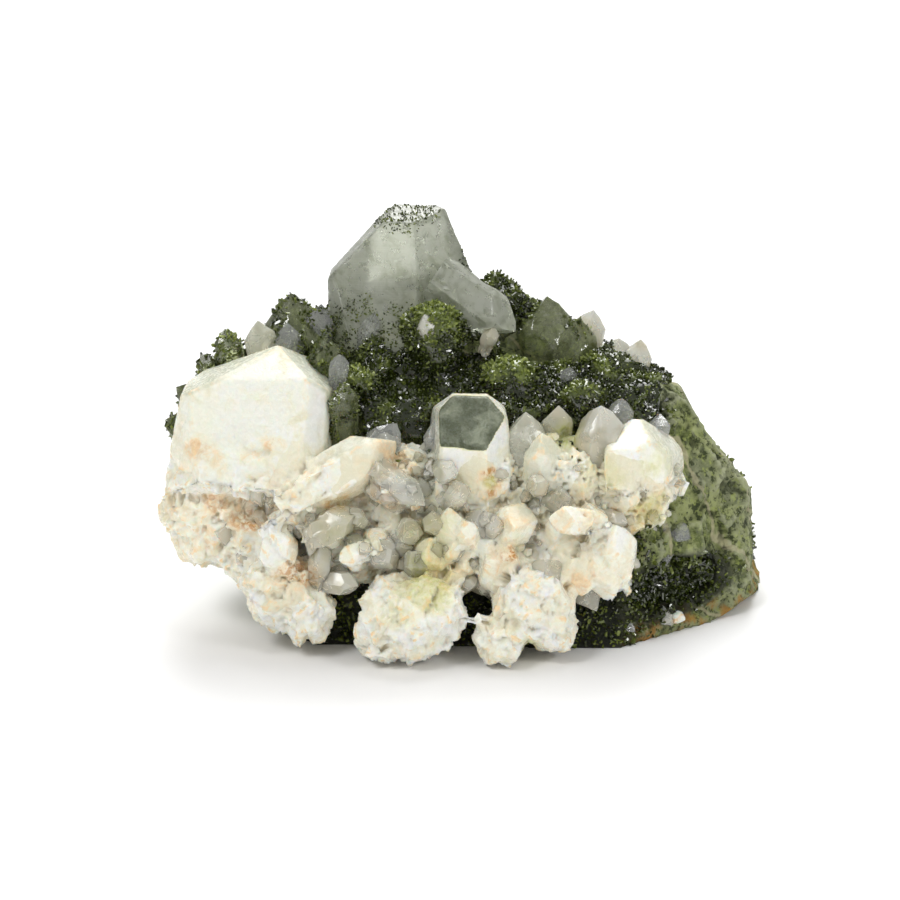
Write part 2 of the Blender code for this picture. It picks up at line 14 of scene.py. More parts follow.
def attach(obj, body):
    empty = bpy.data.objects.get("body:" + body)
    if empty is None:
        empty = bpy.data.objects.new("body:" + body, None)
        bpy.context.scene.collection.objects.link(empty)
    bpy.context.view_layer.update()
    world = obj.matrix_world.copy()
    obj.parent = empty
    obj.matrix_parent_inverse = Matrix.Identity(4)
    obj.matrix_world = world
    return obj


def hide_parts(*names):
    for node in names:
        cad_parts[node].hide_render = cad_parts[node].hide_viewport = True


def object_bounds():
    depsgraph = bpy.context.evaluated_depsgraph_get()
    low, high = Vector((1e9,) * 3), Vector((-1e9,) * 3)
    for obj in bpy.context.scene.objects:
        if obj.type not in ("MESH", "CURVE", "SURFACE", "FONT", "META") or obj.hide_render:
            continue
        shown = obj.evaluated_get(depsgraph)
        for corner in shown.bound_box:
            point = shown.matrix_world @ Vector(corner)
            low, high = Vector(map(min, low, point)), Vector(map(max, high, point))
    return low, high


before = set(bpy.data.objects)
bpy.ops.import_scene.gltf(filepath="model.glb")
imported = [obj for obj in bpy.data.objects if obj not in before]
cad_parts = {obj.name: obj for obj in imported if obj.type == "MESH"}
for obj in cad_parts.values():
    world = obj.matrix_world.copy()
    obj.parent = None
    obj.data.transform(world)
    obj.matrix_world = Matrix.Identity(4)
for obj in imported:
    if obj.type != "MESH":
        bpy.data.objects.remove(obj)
cad_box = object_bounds()
MM = 0.001

# Camera, floor and light
# A level view from a little above, on white paper under large soft lamps, so that the paper burns
# out to white and only a soft grey shadow is left where the specimen stands.
TARGET = Vector((0.0, 0.0, 30.0)) * MM
VIEW_RISE = math.radians(20)
VIEW_DISTANCE = 460 * MM


def look_at(thing, place, target):
    thing.location = place
    thing.rotation_euler = (target - place).to_track_quat("-Z", "Y").to_euler()


def make_camera():
    data = bpy.data.cameras.new("camera")
    data.lens = 100
    data.sensor_width = 36
    data.clip_start = 0.01
    camera = bpy.data.objects.new("camera", data)
    bpy.context.scene.collection.objects.link(camera)
    back = Vector((0, -math.cos(VIEW_RISE), math.sin(VIEW_RISE)))
    look_at(camera, TARGET + back * VIEW_DISTANCE, TARGET)
    bpy.context.scene.camera = camera


def make_lamp(name, place, size, power):
    data = bpy.data.lights.new(name, "AREA")
    data.shape = "DISK"
    data.size = size
    data.energy = power
    lamp = bpy.data.objects.new(name, data)
    bpy.context.scene.collection.objects.link(lamp)
    look_at(lamp, Vector(place), TARGET)


def make_floor():
    bm = bmesh.new()
    bmesh.ops.create_grid(bm, x_segments=1, y_segments=1, size=3.0)
    mesh = bpy.data.meshes.new("floor")
    bm.to_mesh(mesh)
    bm.free()
    floor = bpy.data.objects.new("floor", mesh)
    bpy.context.scene.collection.objects.link(floor)
    paper = bpy.data.materials.new("paper")
    paper.use_nodes = True
    shader = paper.node_tree.nodes["Principled BSDF"]
    shader.inputs["Base Color"].default_value = (0.93, 0.93, 0.93, 1)
    shader.inputs["Roughness"].default_value = 0.9
    shader.inputs["Specular IOR Level"].default_value = 0.1
    mesh.materials.append(paper)


def make_world():
    world = bpy.data.worlds.new("studio")
    world.use_nodes = True
    background = world.node_tree.nodes["Background"]
    background.inputs["Color"].default_value = (1, 1, 1, 1)
    background.inputs["Strength"].default_value = 0.39
    bpy.context.scene.world = world


make_camera()
make_floor()
make_world()
make_lamp("key", (-0.45, -0.45, 0.80), 0.30, 3.0)
make_lamp("top", (0.10, 0.30, 0.90), 0.60, 3.0)
make_lamp("glint", (0.45, -0.35, 0.40), 0.14, 0.9)
make_lamp("paper", (0.0, 1.30, 1.40), 1.20, 22.0)
bpy.context.scene.view_settings.view_transform = "Standard"
bpy.context.scene.view_settings.look = "None"


# Host rock
# A broken piece of green epidote rock with pale layers and a rusty lower edge. It is the node's own
# solid, remeshed finely and pitted.
def object_of(mesh, name):
    made = bpy.data.objects.new(name, mesh)
    bpy.context.scene.collection.objects.link(made)
    return made


def copy_of_node(node, name):
    """A copy of a node's mesh in an object of its own, with its split points joined again."""
    bm = bmesh.new()
    bm.from_mesh(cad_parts[node].data)
    bmesh.ops.remove_doubles(bm, verts=bm.verts[:], dist=1e-6)
    mesh = bpy.data.meshes.new(name)
    bm.to_mesh(mesh)
    bm.free()
    return object_of(mesh, name)


def take_result(thing):
    """Keeps what an object's modifiers make as its own plain mesh."""
    graph = bpy.context.evaluated_depsgraph_get()
    mesh = bpy.data.meshes.new_from_object(thing.evaluated_get(graph), depsgraph=graph)
    thing.modifiers.clear()
    thing.data = mesh


def remesh(thing, cell):
    """Turns a solid, or several that overlap, into one skin of small even faces."""
    step = thing.modifiers.new("remesh", "REMESH")
    step.mode = "VOXEL"
    step.voxel_size = cell
    step.use_smooth_shade = True
    take_result(thing)


def places_of(thing):
    co = np.empty(len(thing.data.vertices) * 3, np.float32)
    thing.data.vertices.foreach_get("co", co)
    return co.reshape(-1, 3).astype(float)


def normals_of(thing):
    co = np.empty(len(thing.data.vertices) * 3, np.float32)
    thing.data.vertices.foreach_get("normal", co)
    return co.reshape(-1, 3).astype(float)


def move_to(thing, places):
    thing.data.vertices.foreach_set("co", places.astype(np.float32).ravel())
    thing.data.update()


def store(thing, name, values):
    """Keeps one number a point on the mesh, for its material or for what is scattered on it."""
    held = thing.data.attributes.get(name) or thing.data.attributes.new(name, "FLOAT", "POINT")
    held.data.foreach_set("value", np.asarray(values, np.float32))


def noise_at(places, size, offset=0.0):
    """Smooth noise from -1 to 1 at each place, with lumps of that size in metres."""
    return np.array([noise.noise(Vector(p) / size + Vector((offset, offset, offset))) for p in places])


def facets_at(places, size, tilt):
    """Small flat facets in a random pattern: how far each place stands out, in metres."""
    found = np.empty(len(places))
    for i, p in enumerate(places):
        at = Vector(p) / size
        site = noise.voronoi(at)[1][0]
        lean = noise.noise_vector(site * 7.31)
        found[i] = (lean.dot(at - site) * tilt + lean.x * 0.2) * size
    return found


def standing_out(thing, rounds):
    """How far each place stands out of what is round it, in metres: hollows are below 0."""
    ends = np.empty(len(thing.data.edges) * 2, np.int32)
    thing.data.edges.foreach_get("vertices", ends)
    first, second = ends[0::2], ends[1::2]
    at = places_of(thing)
    smooth = at.copy()
    met = np.bincount(ends, minlength=len(at))[:, None]
    for _ in range(rounds):
        total = np.empty_like(smooth)
        for axis in range(3):
            total[:, axis] = np.bincount(first, smooth[second, axis], len(at))
            total[:, axis] += np.bincount(second, smooth[first, axis], len(at))
        smooth = (smooth + total / np.maximum(met, 1)) / 2
    return ((at - smooth) * normals_of(thing)).sum(axis=1)


def smoothstep(values, low, high):
    t = np.clip((np.asarray(values) - low) / (high - low), 0, 1)
    return t * t * (3 - 2 * t)


def new_material(name):
    """A material and its tree, with the Principled shader ready."""
    made = bpy.data.materials.new(name)
    made.use_nodes = True
    return made, made.node_tree, made.node_tree.nodes["Principled BSDF"]


def add(tree, kind, settings=None, **inputs):
    """Adds a node. An input is given by name, with _ for a space, as a value or another's output."""
    made = tree.nodes.new(kind)
    for name, value in (settings or {}).items():
        setattr(made, name, value)
    for name, value in inputs.items():
        socket = made.inputs[name.replace("_", " ")] if not name.startswith("n") or not name[1:].isdigit() \
            else made.inputs[int(name[1:])]
        if isinstance(value, bpy.types.NodeSocket):
            tree.links.new(value, socket)
        else:
            socket.default_value = value
    return made


def attribute(tree, name):
    return add(tree, "ShaderNodeAttribute", {"attribute_name": name}).outputs["Fac"]


def object_place(tree):
    return add(tree, "ShaderNodeTexCoord").outputs["Object"]


def noise_value(tree, size, detail=4.0, rough=0.55, distort=0.0):
    """Noise from 0 to 1 in the piece's own space, with lumps of that size in metres."""
    return add(
        tree, "ShaderNodeTexNoise", Vector=object_place(tree), Scale=1 / size, Detail=detail,
        Roughness=rough, Distortion=distort,
    ).outputs["Fac"]


def band(tree, value, low, high):
    """Goes smoothly from 0 at low to 1 at high."""
    made = add(tree, "ShaderNodeMapRange", {"interpolation_type": "SMOOTHSTEP"}, Value=value)
    made.inputs["From Min"].default_value = low
    made.inputs["From Max"].default_value = high
    return made.outputs["Result"]


def maths(tree, operation, a, b, c=0.5):
    return add(tree, "ShaderNodeMath", {"operation": operation}, n0=a, n1=b, n2=c).outputs[0]


def blend(tree, factor, a, b):
    """A colour between a and b."""
    made = add(tree, "ShaderNodeMix", {"data_type": "RGBA"})
    for socket, value in ((made.inputs[0], factor), (made.inputs[6], a), (made.inputs[7], b)):
        if isinstance(value, bpy.types.NodeSocket):
            tree.links.new(value, socket)
        else:
            socket.default_value = value
    return made.outputs[2]


def bump(tree, height, depth, strength=1.0):
    made = add(tree, "ShaderNodeBump", Height=height, Distance=depth, Strength=strength)
    return made.outputs["Normal"]


def rgb(red, green, blue):
    """A colour as it is read off a screen, from 0 to 255, made linear."""
    share = [c / 255 for c in (red, green, blue)]
    return tuple(c / 12.92 if c <= 0.04045 else ((c + 0.055) / 1.055) ** 2.4 for c in share) + (1.0,)


def rock_material():
    made, tree, shader = new_material("host_rock")
    mottle = band(tree, noise_value(tree, 6 * MM, 6.0, 0.7, 0.6), 0.40, 0.60)
    colour = blend(tree, mottle, rgb(98, 110, 48), rgb(168, 176, 116))
    clouds = band(tree, noise_value(tree, 15 * MM, 3.0, 0.6, 0.3), 0.50, 0.64)
    colour = blend(tree, maths(tree, "MULTIPLY", clouds, 0.5), colour, rgb(164, 166, 140))
    grain = noise_value(tree, 1.5 * MM, 6.0, 0.75, 0.3)
    specks = maths(tree, "MULTIPLY", band(tree, grain, 0.49, 0.57), 0.9)
    colour = blend(tree, specks, colour, rgb(48, 58, 20))
    fresh = maths(tree, "MULTIPLY", band(tree, noise_value(tree, 1.1 * MM, 4.0, 0.7, 0.4), 0.55, 0.64), 0.8)
    colour = blend(tree, fresh, colour, rgb(168, 180, 96))
    layers = add(
        tree, "ShaderNodeTexWave", {"bands_direction": "DIAGONAL"}, Vector=object_place(tree),
        Scale=1 / (30 * MM), Distortion=9.0, Detail=5.0,
    ).outputs["Fac"]
    veins = maths(tree, "MULTIPLY", band(tree, layers, 0.975, 0.998), 0.65)
    colour = blend(tree, veins, colour, rgb(206, 198, 160))
    # Painted highlight and painted shade: the rock is drawn paler on its ridges, where light catches, and near-black
    # green in its hollows, where shade falls.
    ridge = attribute(tree, "ridge")
    colour = blend(tree, maths(tree, "MULTIPLY", band(tree, ridge, 0.3, 1.4), 0.5), colour, rgb(196, 200, 164))
    hollow = band(tree, maths(tree, "MULTIPLY", ridge, -1.0), 0.3, 1.5)
    colour = blend(tree, maths(tree, "MULTIPLY", hollow, 0.7), colour, rgb(40, 48, 18))
    colour = blend(tree, attribute(tree, "rust"), colour, rgb(188, 132, 44))
    # Painted shade: near-black green where the dark mask lies, low behind the white lumps and round the pocket.
    colour = blend(tree, attribute(tree, "dark"), colour, rgb(24, 28, 12))
    tree.links.new(colour, shader.inputs["Base Color"])
    rough = band(tree, grain, 0.2, 0.9)
    tree.links.new(maths(tree, "MULTIPLY_ADD", rough, 0.45), shader.inputs["Roughness"])
    tree.links.new(bump(tree, grain, 1.1 * MM, 1.0), shader.inputs["Normal"])
    shader.inputs["Specular IOR Level"].default_value = 0.5
    return made


def build_rock():
    rock = copy_of_node("host_rock", "host_rock_surface")
    remesh(rock, 0.75 * MM)
    at, out = places_of(rock), normals_of(rock)
    free = smoothstep(at[:, 2], 0.6 * MM, 2.0 * MM)
    relief = facets_at(at, 6.0 * MM, 1.0) * 0.42 + facets_at(at, 2.4 * MM, 1.0) * 0.45
    relief += noise_at(at, 1.6 * MM) * 0.18 * MM - 0.55 * MM
    at += out * np.clip(relief * free, -2.0 * MM, 0.1 * MM)[:, None]
    at[:, 2] = np.maximum(at[:, 2], 0.0)
    move_to(rock, at)
    x, y, z = at.T / MM
    wander = noise_at(at, 6 * MM) * 2.4
    front_edge = smoothstep(x + wander, 24, 30) * smoothstep(-(z + wander * 0.6), -5.4, -2.6)
    ragged = smoothstep(noise_at(at, 2.4 * MM, 4.0) + 0.6 * noise_at(at, 0.9 * MM, 2.0), -0.05, 0.35)
    store(rock, "rust", 0.8 * front_edge * ragged)
    # Painted shade: the rock is drawn near-black low on its front behind the white lumps, and in the pocket at the
    # lower right.
    shade_behind_lumps = smoothstep(-y, 15.0, 17.5) * smoothstep(-z, -16, -10) * smoothstep(-x + wander, -36, -30)
    shade_in_pocket = smoothstep(-np.hypot((x - 39.5) / 12.5, (z - 8.5) / 6), -1.15, -0.9) * smoothstep(-y, 2, 6)
    store(rock, "dark", np.maximum(shade_behind_lumps, shade_in_pocket * 0.9))
    # How far the rock stands out; the rock's colour uses it for painted highlights on ridges and painted shade in
    # hollows.
    proud = standing_out(rock, 14) / (0.30 * MM) * smoothstep(z, 1, 5)
    store(rock, "ridge", np.clip(proud, -2, 2))
    rock.data.materials.clear()
    rock.data.materials.append(rock_material())
    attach(rock, "root")
    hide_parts("host_rock")
    return rock


rock = build_rock()


# Quartz masses at the front
# Rounded lumps of white quartz, sugary with small facets, that carry the points. Three of them
# stand at the foot of the cluster.
Lump = namedtuple("Lump", "x y z half_x half_y half_z")
FRONT_LUMPS = (
    Lump(-41.5, -10.0, 21.0, 12.0, 9.0, 11.0),
    Lump(-34.0, -14.0, 17.0, 9.0, 7.5, 8.0),
    Lump(-22.0, -13.0, 26.0, 10.0, 8.0, 9.0),
    Lump(-8.0, -13.0, 27.0, 11.0, 7.6, 9.0),
    Lump(6.0, -12.5, 28.0, 11.0, 7.6, 9.0),
    Lump(20.0, -12.0, 28.0, 11.0, 8.4, 10.0),
    Lump(32.0, -10.0, 27.0, 9.0, 8.4, 10.0),
    Lump(-20.0, -16.0, 16.0, 9.5, 6.6, 7.5),
    Lump(-7.0, -17.5, 18.0, 9.5, 6.0, 7.5),
    Lump(7.0, -17.5, 18.0, 9.5, 6.4, 8.0),
    Lump(20.0, -17.0, 17.0, 9.5, 6.4, 8.0),
    Lump(-29.0, -21.5, 10.8, 8.0, 6.6, 8.0),
    Lump(-25.5, -24.0, 8.0, 5.6, 5.0, 6.4),
    Lump(-32.5, -22.0, 13.4, 5.4, 5.4, 5.4),
    Lump(-7.0, -26.8, 8.0, 9.8, 7.4, 8.8),
    Lump(-12.5, -28.4, 5.4, 5.0, 5.0, 6.0),
    Lump(-1.0, -27.6, 9.4, 4.6, 5.6, 5.6),
    Lump(14.5, -25.4, 10.0, 7.8, 6.4, 7.8),
    Lump(9.0, -28.8, 4.8, 5.0, 4.8, 5.6),
    Lump(18.4, -26.6, 6.0, 5.0, 5.2, 5.0),
    Lump(5.6, -29.2, 8.4, 1.9, 1.9, 1.9),
)
LEFT_LUMPS = (
    Lump(-29.0, 6.0, 43.0, 9.0, 8.0, 10.0),
    Lump(-39.0, 4.0, 38.0, 9.0, 7.0, 9.0),
    Lump(-46.5, 2.0, 33.5, 6.0, 6.5, 8.0),
)
BACK_LUMPS = (
    Lump(4.0, 11.0, 49.0, 8.0, 6.0, 6.4),
    Lump(15.0, 9.5, 46.6, 9.0, 6.5, 4.6),
    Lump(24.5, 11.5, 46.4, 7.0, 6.5, 4.6),
)
RIGHT_LUMPS = (
    Lump(32.5, 5.0, 41.0, 7.0, 7.0, 5.0),
    Lump(37.5, 1.5, 36.5, 4.6, 5.6, 5.0),
)
FLOOR_GAP = 0.4 * MM

# Where the quartz is stained: the middle and radius of the stain in mm, and its strength, which is
# peach up to 1 and goes on to rusty brown at 2.
Stain = namedtuple("Stain", "x y z radius strength")
STAINS = (
    Stain(-45, -16, 36, 3.2, 1.3),
    Stain(-40.5, -17, 34.3, 2.8, 1.2),
    Stain(-35, -17, 34.3, 3.0, 1.2),
    Stain(-31, -17, 37.5, 2.4, 1.3),
    Stain(-42, -16, 25.5, 4, 1.5),
    Stain(-36, -18, 24.5, 4, 1.8),
    Stain(-30, -19, 25, 3.5, 1.6),
    Stain(-34, -19, 29, 6, 0.5),
    Stain(-24, -18, 30, 5, 0.7),
    Stain(-9, -19, 36, 4, 1.6),
    Stain(-18, -18, 32, 6, 0.9),
    Stain(-11, -22, 29, 4, 1.5),
    Stain(-20, -22, 27, 4, 1.5),
    Stain(-27, -25, 16, 5, 1.8),
    Stain(-44, -16, 19, 9, 0.8),
    Stain(-49, -12, 26, 5, 0.6),
    Stain(7, -20, 33, 1.8, 1.9),
    Stain(7, -20.5, 29.5, 1.8, 1.9),
    Stain(6, -28, 19, 6, 1.0),
    Stain(12, -27, 21, 4, 1.9),
    Stain(11, -27, 27, 5, 0.9),
    Stain(17, -25, 28, 5, 0.8),
    Stain(25, -23, 26, 6, 0.8),
    Stain(28, -23, 17, 6, 0.8),
    Stain(34, -17, 22, 5, 1.3),
    Stain(8, -21, 31, 3, 1.5),
    Stain(-2, -26, 16, 5, 0.9),
    Stain(22, -25, 13, 4, 1.2),
    Stain(37, -14, 27, 5, 0.8),
)


# Where green epidote shows through the quartz or dusts it, in the same way.
GREENS = (
    Stain(-4, -29, 17, 6.5, 0.75),
    Stain(-9, -32, 12, 4, 0.35),
    Stain(21, -13, 38, 3, 1.0),
    Stain(36, -14, 33, 4, 0.5),
    Stain(35, -15, 24, 5, 0.6),
    Stain(-10, -14, 41, 4, 0.8),
    Stain(14, -28, 5, 3, 0.6),
    Stain(-18, -24, 24, 6, 0.35),
    Stain(-4, -24, 24, 6, 0.35),
    Stain(26, -22, 32, 5, 0.5),
    Stain(7, -20, 31, 1.6, 0.8),
)


# Where crystals are broken in ragged steps, in the same way.
BROKEN = (
    Stain(-42, -16, 30, 8, 0.9),
    Stain(-33, -19, 28, 8, 0.9),
    Stain(-24, -17, 29, 6, 0.8),
    Stain(-46, -14, 22, 10, 0.9),
    Stain(-36, -18, 21, 9, 0.9),
    Stain(33, -18, 29, 6, 0.7),
)
BREAK_DEPTH = 1.1 * MM


def toward(azimuth, rise):
    """The direction at that azimuth and rise, in degrees."""
    a, r = math.radians(azimuth), math.radians(rise)
    return Vector((math.cos(a) * math.cos(r), math.sin(a) * math.cos(r), math.sin(r)))


def cleave(bm, place, normal):
    """Breaks off what lies past a plane, and closes the solid with the flat face that is left."""
    everything = bm.verts[:] + bm.edges[:] + bm.faces[:]
    cut = bmesh.ops.bisect_plane(bm, geom=everything, plane_co=place, plane_no=normal, clear_outer=True)
    rim = [item for item in cut["geom_cut"] if isinstance(item, bmesh.types.BMEdge)]
    if rim:
        bmesh.ops.edgeloop_fill(bm, edges=rim)


def stop_above_floor(bm):
    if min(v.co.z for v in bm.verts) < FLOOR_GAP:
        cleave(bm, Vector((0, 0, FLOOR_GAP)), Vector((0, 0, -1)))


def lump_body(lump, seed):
    bm = bmesh.new()
    bmesh.ops.create_icosphere(bm, subdivisions=4, radius=1.0)
    offset = Vector((seed * 3.1, seed * 1.7, seed * 5.3))
    middle = Vector((lump.x, lump.y, lump.z))
    for v in bm.verts:
        v.co *= 0.97 + 0.22 * noise.noise(v.co * 1.6 + offset)
        v.co = (middle + v.co * Vector((lump.half_x, lump.half_y, lump.half_z))) * MM
    stop_above_floor(bm)
    return bm


def joined(name, bodies):
    """Several closed bodies as one object."""
    whole = bmesh.new()
    for bm in bodies:
        part = bpy.data.meshes.new(name)
        bm.to_mesh(part)
        bm.free()
        whole.from_mesh(part)
        bpy.data.meshes.remove(part)
    mesh = bpy.data.meshes.new(name)
    whole.to_mesh(mesh)
    whole.free()
    return object_of(mesh, name)


def stain_at(places, stains):
    """How stained the quartz is at each place."""
    found = np.zeros(len(places))
    wander = noise_at(places, 3.5 * MM, 9.0) * 0.45
    for s in stains:
        away = np.linalg.norm(places / MM - np.array((s.x, s.y, s.z)), axis=1) / s.radius
        found = np.maximum(found, s.strength * (1 - smoothstep(away + wander, 0.35, 1.25)))
    return found


def zone_value(tree, size):
    """Flat-sided zones inside a crystal, healed breaks, each a little clearer or milkier."""
    wander = add(
        tree, "ShaderNodeTexNoise", Vector=object_place(tree), Scale=1 / size, Detail=3.0, Distortion=0.4
    ).outputs["Color"]
    moved = add(tree, "ShaderNodeVectorMath", {"operation": "SCALE"}, n0=wander, Scale=size * 0.6)
    place = add(tree, "ShaderNodeVectorMath", n0=object_place(tree), n1=moved.outputs[0])
    cells = add(
        tree, "ShaderNodeTexVoronoi", {"feature": "F1"}, Vector=place.outputs[0], Scale=1 / size
    ).outputs["Color"]
    return add(tree, "ShaderNodeSeparateColor", Color=cells).outputs[0]


def quartz_colour(tree, pale, grey, peach, rust):
    """Pale quartz with greyer patches, peach on its ridges and a darker dull brown in its hollows."""
    patch = band(tree, noise_value(tree, 5.5 * MM, 4.0, 0.6, 0.6), 0.44, 0.76)
    zones = maths(tree, "MULTIPLY", band(tree, zone_value(tree, 8 * MM), 0.45, 1.0), 0.75)
    colour = blend(tree, maths(tree, "MAXIMUM", patch, zones), pale, grey)
    clearer = maths(tree, "MULTIPLY", attribute(tree, "clear"), maths(tree, "MULTIPLY_ADD", patch, 0.4, 0.6))
    colour = blend(tree, clearer, colour, rgb(188, 194, 174))
    stain = attribute(tree, "stain")
    ridge = attribute(tree, "ridge")
    root = band(tree, attribute(tree, "root"), 0.35, 1.1)
    spots = band(tree, noise_value(tree, 2.2 * MM, 5.0, 0.65, 0.8), 0.46, 0.62)
    edges = maths(tree, "MULTIPLY", band(tree, ridge, 0.1, 0.9), spots)
    roots = maths(tree, "MULTIPLY", maths(tree, "MULTIPLY", root, spots), 0.35)
    broken = maths(tree, "MULTIPLY", maths(tree, "MINIMUM", stain, 1.0), maths(tree, "MULTIPLY_ADD", spots, 0.6, 0.25))
    peachy = maths(tree, "MAXIMUM", maths(tree, "MAXIMUM", roots, edges), broken)
    colour = blend(tree, peachy, colour, peach)
    speckle = band(tree, noise_value(tree, 1.3 * MM, 5.0, 0.7, 0.8), 0.44, 0.60)
    rusty = maths(tree, "MULTIPLY", band(tree, stain, 0.8, 2.2), speckle)
    colour = blend(tree, rusty, colour, rust)
    green = attribute(tree, "green")
    dust = maths(tree, "MULTIPLY", maths(tree, "MINIMUM", green, 1.0), maths(tree, "MULTIPLY_ADD", speckle, 0.5))
    dust = maths(tree, "MAXIMUM", dust, band(tree, green, 0.8, 1.2))
    streaks = band(tree, noise_value(tree, 3.2 * MM, 5.0, 0.6, 0.3), 0.38, 0.72)
    deep = blend(tree, streaks, rgb(80, 88, 62), rgb(146, 152, 130))
    fresh = blend(tree, band(tree, green, 0.8, 1.2), rgb(206, 208, 126), deep)
    colour = blend(tree, dust, colour, fresh)
    # Darker, dull brown in patches toward the deepest hollows.
    hollow = band(tree, maths(tree, "MULTIPLY", ridge, -1.0), 0.7, 2.0)
    hollow_patches = band(tree, noise_value(tree, 5.0 * MM, 3.0, 0.6, 0.3), 0.42, 0.62)
    crevice = maths(tree, "MULTIPLY", hollow, maths(tree, "MULTIPLY_ADD", hollow_patches, 0.5, 0.2))
    return blend(tree, crevice, colour, rgb(158, 142, 96))


def milky_material():
    made, tree, shader = new_material("milky_quartz")
    colour = quartz_colour(
        tree, rgb(255, 253, 240), rgb(230, 225, 198), rgb(244, 216, 174), rgb(196, 140, 66)
    )
    tree.links.new(colour, shader.inputs["Base Color"])
    shader.inputs["Subsurface Weight"].default_value = 1.0
    shader.inputs["Subsurface Radius"].default_value = (1.0, 0.85, 0.7)
    shader.inputs["Subsurface Scale"].default_value = 0.8 * MM
    shader.inputs["IOR"].default_value = 1.544
    grain = noise_value(tree, 0.9 * MM, 5.0, 0.65)
    tree.links.new(band(tree, grain, -0.1, 1.7), shader.inputs["Roughness"])
    tree.links.new(bump(tree, grain, 0.3 * MM, 0.7), shader.inputs["Normal"])
    return made


milky = milky_material()


def place_piece(thing, material, slot, *nodes):
    thing.data.materials.clear()
    thing.data.materials.append(material)
    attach(thing, "root")
    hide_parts(*nodes)


# Quartz points
# Six-sided prisms under six rhombohedral faces, three of them larger. They are grown from the same
# sizes as the solids, then chipped along their edges and pitted toward their roots.
MILKY, CLOUDY, CLEAR, GREY, SMOKY = "milky", "cloudy", "clear", "grey", "smoky"
Point = namedtuple("Point", "kind x y z lean toward width length")
FRONT_POINTS = (
    # the row along the top of the front
    Point(CLOUDY, 13.2, -13.5, 43.4, 4, -85, 8.0, 20.0),
    Point(CLOUDY, 19.2, -11.5, 43.8, 8, -75, 6.2, 16.0),
    Point(MILKY, 16.4, -17.0, 40.4, 6, -100, 8.0, 22.0),
    Point(CLOUDY, 26.6, -13.5, 45.2, 3, -80, 9.4, 28.0),
    Point(CLEAR, 30.8, -9.5, 44.4, 8, -40, 5.2, 16.0),
    Point(MILKY, 22.6, -17.5, 37.4, 10, -95, 8.4, 19.0),
    Point(CLEAR, -2.6, -12.5, 41.4, 10, 175, 6.6, 16.0),
    Point(CLOUDY, -12.6, -13.0, 38.8, 8, -150, 7.0, 16.0),
    Point(SMOKY, -19.2, -11.6, 47.8, 6, -100, 5.8, 18.0),
    # the crystal that lies along the foot of the largest milky one
    Point(MILKY, -8.0, -16.5, 38.6, 62, 12, 10.0, 26.0),
    Point(CLEAR, -8.6, -12.5, 40.8, 40, 20, 6.6, 14.0),
    # the middle of the front
    Point(CLOUDY, -14.6, -22.6, 27.6, 64, 8, 7.4, 13.0),
    Point(CLOUDY, -3.4, -23.4, 27.0, 122, -20, 7.2, 13.0),
    Point(MILKY, -11.0, -22.0, 30.0, 72, -115, 4.2, 9.0),
    Point(CLOUDY, -5.0, -20.5, 32.4, 40, -80, 5.8, 12.0),
    Point(MILKY, 0.2, -23.5, 29.0, 14, -95, 6.8, 17.0),
    Point(CLOUDY, 5.6, -23.6, 28.4, 24, -60, 5.6, 13.0),
    Point(MILKY, 11.2, -28.0, 25.6, 74, -92, 8.8, 13.0),
    Point(MILKY, 16.2, -26.0, 27.2, 76, -168, 5.4, 9.0),
    Point(MILKY, 25.0, -24.0, 28.4, 40, -90, 6.4, 13.0),
    Point(CLOUDY, 19.6, -22.0, 31.0, 48, -80, 6.4, 12.0),
    Point(MILKY, 29.4, -24.0, 25.6, 16, -88, 8.0, 15.0),
    Point(MILKY, 35.6, -17.5, 21.8, 78, -35, 5.0, 10.0),
    Point(MILKY, 6.0, -28.4, 19.4, 62, -115, 9.4, 14.0),
    Point(MILKY, 12.0, -27.4, 20.6, 64, -60, 5.2, 9.0),
    Point(CLOUDY, 16.8, -26.6, 20.4, 26, -95, 6.8, 13.0),
    Point(MILKY, 22.0, -25.6, 19.6, 36, -75, 6.4, 12.0),
    Point(MILKY, 28.6, -24.4, 9.0, 162, -60, 7.4, 15.0),
    Point(MILKY, 23.0, -25.4, 10.6, 158, -110, 5.0, 11.0),
    Point(CLOUDY, 26.6, -22.5, 6.4, 132, -50, 6.0, 12.0),
    Point(CLOUDY, 36.6, -14.5, 13.6, 164, -60, 4.2, 11.0),
    # below the largest milky crystal
    Point(MILKY, -30.4, -24.0, 26.2, 60, -95, 5.4, 9.0),
    Point(MILKY, -33.6, -25.0, 24.6, 30, -160, 6.8, 11.0),
    Point(MILKY, -26.6, -26.4, 17.6, 138, -30, 5.6, 10.0),
    Point(CLOUDY, -23.0, -25.0, 22.4, 12, -92, 5.2, 12.0),
    Point(MILKY, -20.6, -26.4, 18.6, 104, -162, 4.4, 9.0),
    Point(CLOUDY, -15.4, -25.6, 13.6, 92, -20, 4.8, 10.0),
    Point(CLOUDY, -14.0, -25.4, 22.6, 46, -125, 6.2, 12.0),
    Point(CLOUDY, -8.4, -25.8, 21.6, 66, -85, 6.8, 11.0),
    Point(MILKY, -3.2, -25.5, 23.4, 26, -75, 5.8, 12.0),
    Point(CLOUDY, -20.0, -19.5, 29.6, 50, -60, 6.0, 12.0),
    # the right end
    Point(MILKY, 33.6, -19.0, 28.4, 52, -70, 7.0, 12.0),
    Point(MILKY, 37.6, -15.5, 25.4, 66, -50, 6.4, 12.0),
    # the ragged lower left
    Point(MILKY, -52.2, -12.0, 26.0, 66, -165, 8.0, 13.0),
    Point(MILKY, -52.0, -8.0, 31.0, 60, 176, 7.4, 13.0),
    Point(MILKY, -51.4, -13.0, 20.6, 88, -160, 7.0, 12.0),
    Point(MILKY, -47.4, -15.6, 15.6, 116, -145, 6.6, 12.0),
    Point(MILKY, -41.0, -19.0, 13.4, 118, -120, 5.6, 11.0),
    Point(CLOUDY, -42.0, -21.0, 21.0, 84, -110, 6.6, 11.0),
    Point(MILKY, -46.6, -18.0, 24.6, 74, -130, 6.0, 10.0),
    Point(MILKY, -37.4, -21.8, 18.2, 96, -100, 5.4, 9.0),
)
